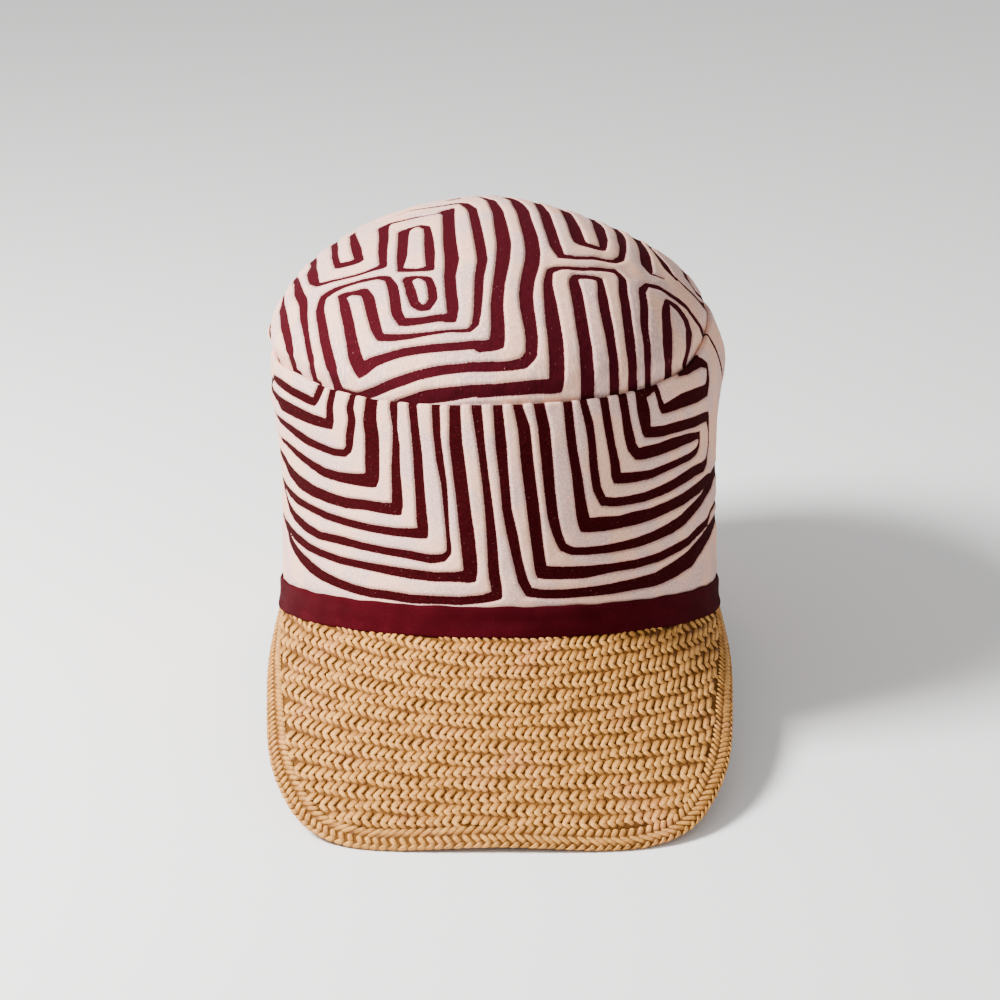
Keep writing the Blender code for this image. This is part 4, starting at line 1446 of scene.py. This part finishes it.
def weave_place(across, up):
    """Angle and down of a place in the weave, found by a few steps from the middle's row height."""
    angle = np.interp(across, ROOT_COLUMNS, ROOT_ANGLES)
    down = 1 - up * ROW_HEIGHT / PEAK_DROP
    for _ in range(4):
        x = (HALF_WIDTH + TAPE_THICKNESS) * np.sin(angle) * (1 + PEAK_SPREAD * down)
        row = ROW_HEIGHT + ROW_GROWTH * (x / GROWTH_WIDTH) ** 2
        camber = 4 * PEAK_CAMBER * down * (1 - down) * math.cos(PEAK_SLOPE)
        down = (PEAK_DROP - up * row + camber) / PEAK_DROP
    return angle, down


# %% The peak's floats
UPPER_HALF = 0.64
FLOAT_OVERLAP = 0.08
FLOAT_FROM, FLOAT_REACH = -0.06, 1.02
FLOAT_FILL = 0.54
JITTER = 0.12
INSIDE_BORDER = 0.4 * MM


def peak_floats():
    """Start and end of every float, as columns and rows of the weave."""
    columns = np.arange(math.ceil(ROOT_COLUMNS[0]), math.floor(ROOT_COLUMNS[-1]) + 1)
    rows = np.arange(LEAST_ROWS, MOST_ROWS)
    column, row, half = np.meshgrid(columns, rows, (-1, 1), indexing="ij")
    column, row, half = (values.ravel().astype(float) for values in (column, row, half))
    count = len(column)
    jitter = JITTER * np.stack([np.sin(7.3 * np.arange(count)), np.sin(5.1 * np.arange(count) + 2)], -1)
    start = np.stack([column + FLOAT_FROM, row - half * FLOAT_OVERLAP], -1) + jitter
    tall = np.where(half > 0, UPPER_HALF, 1 - UPPER_HALF)
    end = np.stack([column + FLOAT_REACH, row + half * (tall + FLOAT_OVERLAP)], -1) + jitter
    return start, end


def on_the_peak(start, end):
    """Which floats have their middle inside the border's inner line."""
    middle = (start + end) / 2
    angle, down = weave_place(middle[:, 0], middle[:, 1])
    inner = peak_outline(200, BORDER_WIDTH + INSIDE_BORDER)
    order = np.argsort(inner[:, 0])
    lowest = np.interp(angle, inner[order, 0], inner[order, 1], left=0.0, right=0.0)
    return (down > 0.0) & (down < lowest)


# %% Build the peak
PEAK_GRID, PEAK_ROWS = 150, 40
UNDER_BORDER = 0.02 * MM
UNDER_THINNER = 0.8


def build_peak_ground():
    """A thin sheet of painted shade under the floats, its upper and lower faces joined round the edge."""
    edge = peak_outline(PEAK_GRID + 1, BORDER_WIDTH + UNDER_BORDER)
    root = np.stack([np.linspace(edge[0, 0], edge[-1, 0], PEAK_GRID + 1), 0 * edge[:, 0]], -1)
    share = np.linspace(0.0, 1.0, PEAK_ROWS)[:, None, None]
    grid = root * (1 - share) + edge * share
    upper = peak_face(grid[..., 0], grid[..., 1])
    normal = peak_slopes(grid[..., 0], grid[..., 1])[2]
    top, low = upper - FACE_DROP * normal, upper - (PEAK_THICKNESS - FACE_DROP) * normal
    loops = np.concatenate([top, low[:, ::-1]], axis=1)
    faces = closed_tube(*loops.shape[:2])
    add_piece("peak_ground", loops, faces, 0 * loops, gap_shade_straw, "peak")


def build_peak_weave():
    """The floats of the upper side, and the same floats turned over on the under side."""
    start, end = peak_floats()
    kept = on_the_peak(start, end)
    start, end = start[kept], end[kept]
    share = np.linspace(0, 1, FLOAT_STATIONS)[:, None]
    path = start[:, None] * (1 - share) + end[:, None] * share
    angle, down = weave_place(path[..., 0], path[..., 1])
    down = np.maximum(down, -0.002)
    face = peak_face(angle, down)
    normal = peak_slopes(angle, down)[2]
    middle = path.mean(axis=1)
    beside_angle, beside_down = weave_place(middle[:, 0] + 1, middle[:, 1])
    here_angle, here_down = weave_place(middle[:, 0], middle[:, 1])
    step = peak_face(beside_angle, beside_down) - peak_face(here_angle, here_down)
    heading = unit(face[:, -1] - face[:, 0])
    apart = np.linalg.norm(step - (step * heading).sum(-1, keepdims=True) * heading, axis=-1)
    half_width = FLOAT_FILL * apart * (1 + 0.10 * np.sin(2.3 * np.arange(len(path)) + 1))
    thick = FLOAT_THICKNESS * (1 + 0.22 * np.sin(3.7 * np.arange(len(path))))
    points, lay = float_bodies(face - FLOAT_SUNK * normal, normal, half_width, thick)
    faces = float_faces(len(path))
    add_piece("peak_weave_upper", points, faces, lay, peak_straw, "peak")
    below = face - (PEAK_THICKNESS - FLOAT_SUNK) * normal
    points, lay = float_bodies(below, -normal, half_width, thick * UNDER_THINNER)
    add_piece("peak_weave_under", points, faces, lay, peak_straw, "peak")


build_peak_ground()
build_peak_weave()

# %% [markdown]
# ## The braided border
#
# Round the free edge runs a narrow braid, folded over the rim. Its section is two flat
# sides joined by a half round. Its floats lie in five lanes, two above, one over the
# rim and two below, and the slant changes from lane to lane.

# %% The border's section
BORDER_COLUMNS, BORDER_LINES = 420, 7
RIM_RADIUS = BORDER_THICKNESS / 2
FLAT_LENGTH = BORDER_WIDTH - RIM_RADIUS
SECTION_LENGTH = 2 * FLAT_LENGTH + math.pi * RIM_RADIUS
line_insets = np.linspace(0.0, 1.0, BORDER_LINES) * BORDER_WIDTH
border_lines = np.stack([peak_outline(BORDER_COLUMNS, inset) for inset in line_insets])
border_face = peak_face(border_lines[..., 0], border_lines[..., 1])
border_normal = peak_slopes(border_lines[..., 0], border_lines[..., 1])[2]
border_outward = unit(border_face[0] - border_face[-1])
BORDER_LENGTH = np.linalg.norm(np.diff(border_face[0], axis=0), axis=1).sum()
print("the braid is", round(BORDER_LENGTH / MM), "mm long")


def from_lines(values, inset, along):
    """The values of the border's lines at an inset and a share along, mixed from its four neighbours."""
    row = np.clip(inset / BORDER_WIDTH, 0, 1) * (BORDER_LINES - 1)
    place = np.clip(along, 0, 1) * (BORDER_COLUMNS - 1)
    r = np.clip(row.astype(int), 0, BORDER_LINES - 2)
    c = np.clip(place.astype(int), 0, BORDER_COLUMNS - 2)
    fr, fc = (row - r)[..., None], (place - c)[..., None]
    near = values[r, c] * (1 - fc) + values[r, c + 1] * fc
    far = values[r + 1, c] * (1 - fc) + values[r + 1, c + 1] * fc
    return near * (1 - fr) + far * fr


def border_skin(around, along):
    """Point and outward normal of the border's skin, the way round starting at its upper inner edge.

    It runs out over the flat top, round the rim by a half circle, and back underneath.
    """
    rim = np.clip((around - FLAT_LENGTH) / RIM_RADIUS, 0, math.pi)
    top = np.clip(BORDER_WIDTH - around, RIM_RADIUS, BORDER_WIDTH)
    below = RIM_RADIUS + np.clip(around - FLAT_LENGTH - math.pi * RIM_RADIUS, 0, FLAT_LENGTH)
    inset = np.where(rim < math.pi / 2, top, below)
    normal = unit(from_lines(border_normal, inset, along))
    place = from_lines(border_face, inset, along) - RIM_RADIUS * normal
    outward = unit(from_lines(np.stack([border_outward] * BORDER_LINES), inset, along))
    facing = np.cos(rim)[..., None] * normal + np.sin(rim)[..., None] * outward
    return place + RIM_RADIUS * facing, facing


# %% Build the border
LANES = 5
BRAID_PITCH = 3.25 * MM
BRAID_ACROSS, BRAID_SLANT, BRAID_FILL = 0.56, 0.70, 0.34
CORE_DEPTH = 0.45 * MM
CORE_AROUND, CORE_ALONG = 30, 320


def build_border_core():
    """A core of painted shade along the edge, a little inside the border's skin."""
    around = np.linspace(0, SECTION_LENGTH, CORE_AROUND)[None, :]
    along = np.linspace(0, 1, CORE_ALONG)[:, None]
    skin, facing = border_skin(around + 0 * along, along + 0 * around)
    core = skin - CORE_DEPTH * facing
    faces = closed_tube(*core.shape[:2])
    add_piece("border_core", core, faces, 0 * core, gap_shade_straw, "peak_border")


def build_border_braid():
    """Slanting floats in lanes round the border's section."""
    count = int(BORDER_LENGTH / BRAID_PITCH)
    number, lane = np.tile(np.arange(count), LANES), np.repeat(np.arange(LANES), count)
    lane_width = SECTION_LENGTH / LANES
    pitch = 1.0 / count
    slant = np.where(lane % 2 == 0, 1.0, -1.0)
    middle = (number + 0.5) * pitch + 0.1 * pitch * np.sin(5.3 * number + lane)
    share = np.linspace(-1, 1, FLOAT_STATIONS)
    path_around = (lane[:, None] + 0.5 + BRAID_ACROSS * share) * lane_width
    path_along = middle[:, None] + slant[:, None] * BRAID_SLANT * pitch * share
    path_around = np.clip(path_around, 0, SECTION_LENGTH)
    skin, facing = border_skin(path_around, np.clip(path_along, 0.001, 0.999))
    half_width = np.full(len(lane), BRAID_FILL * BRAID_PITCH)
    thick = FLOAT_THICKNESS * (1 + 0.15 * np.sin(4.1 * np.arange(len(lane))))
    points, lay = float_bodies(skin - FLOAT_SUNK * facing, facing, half_width, thick)
    add_piece("border_braid", points, float_faces(len(lane)), lay, braid_straw, "peak_border")


build_border_core()
build_border_braid()
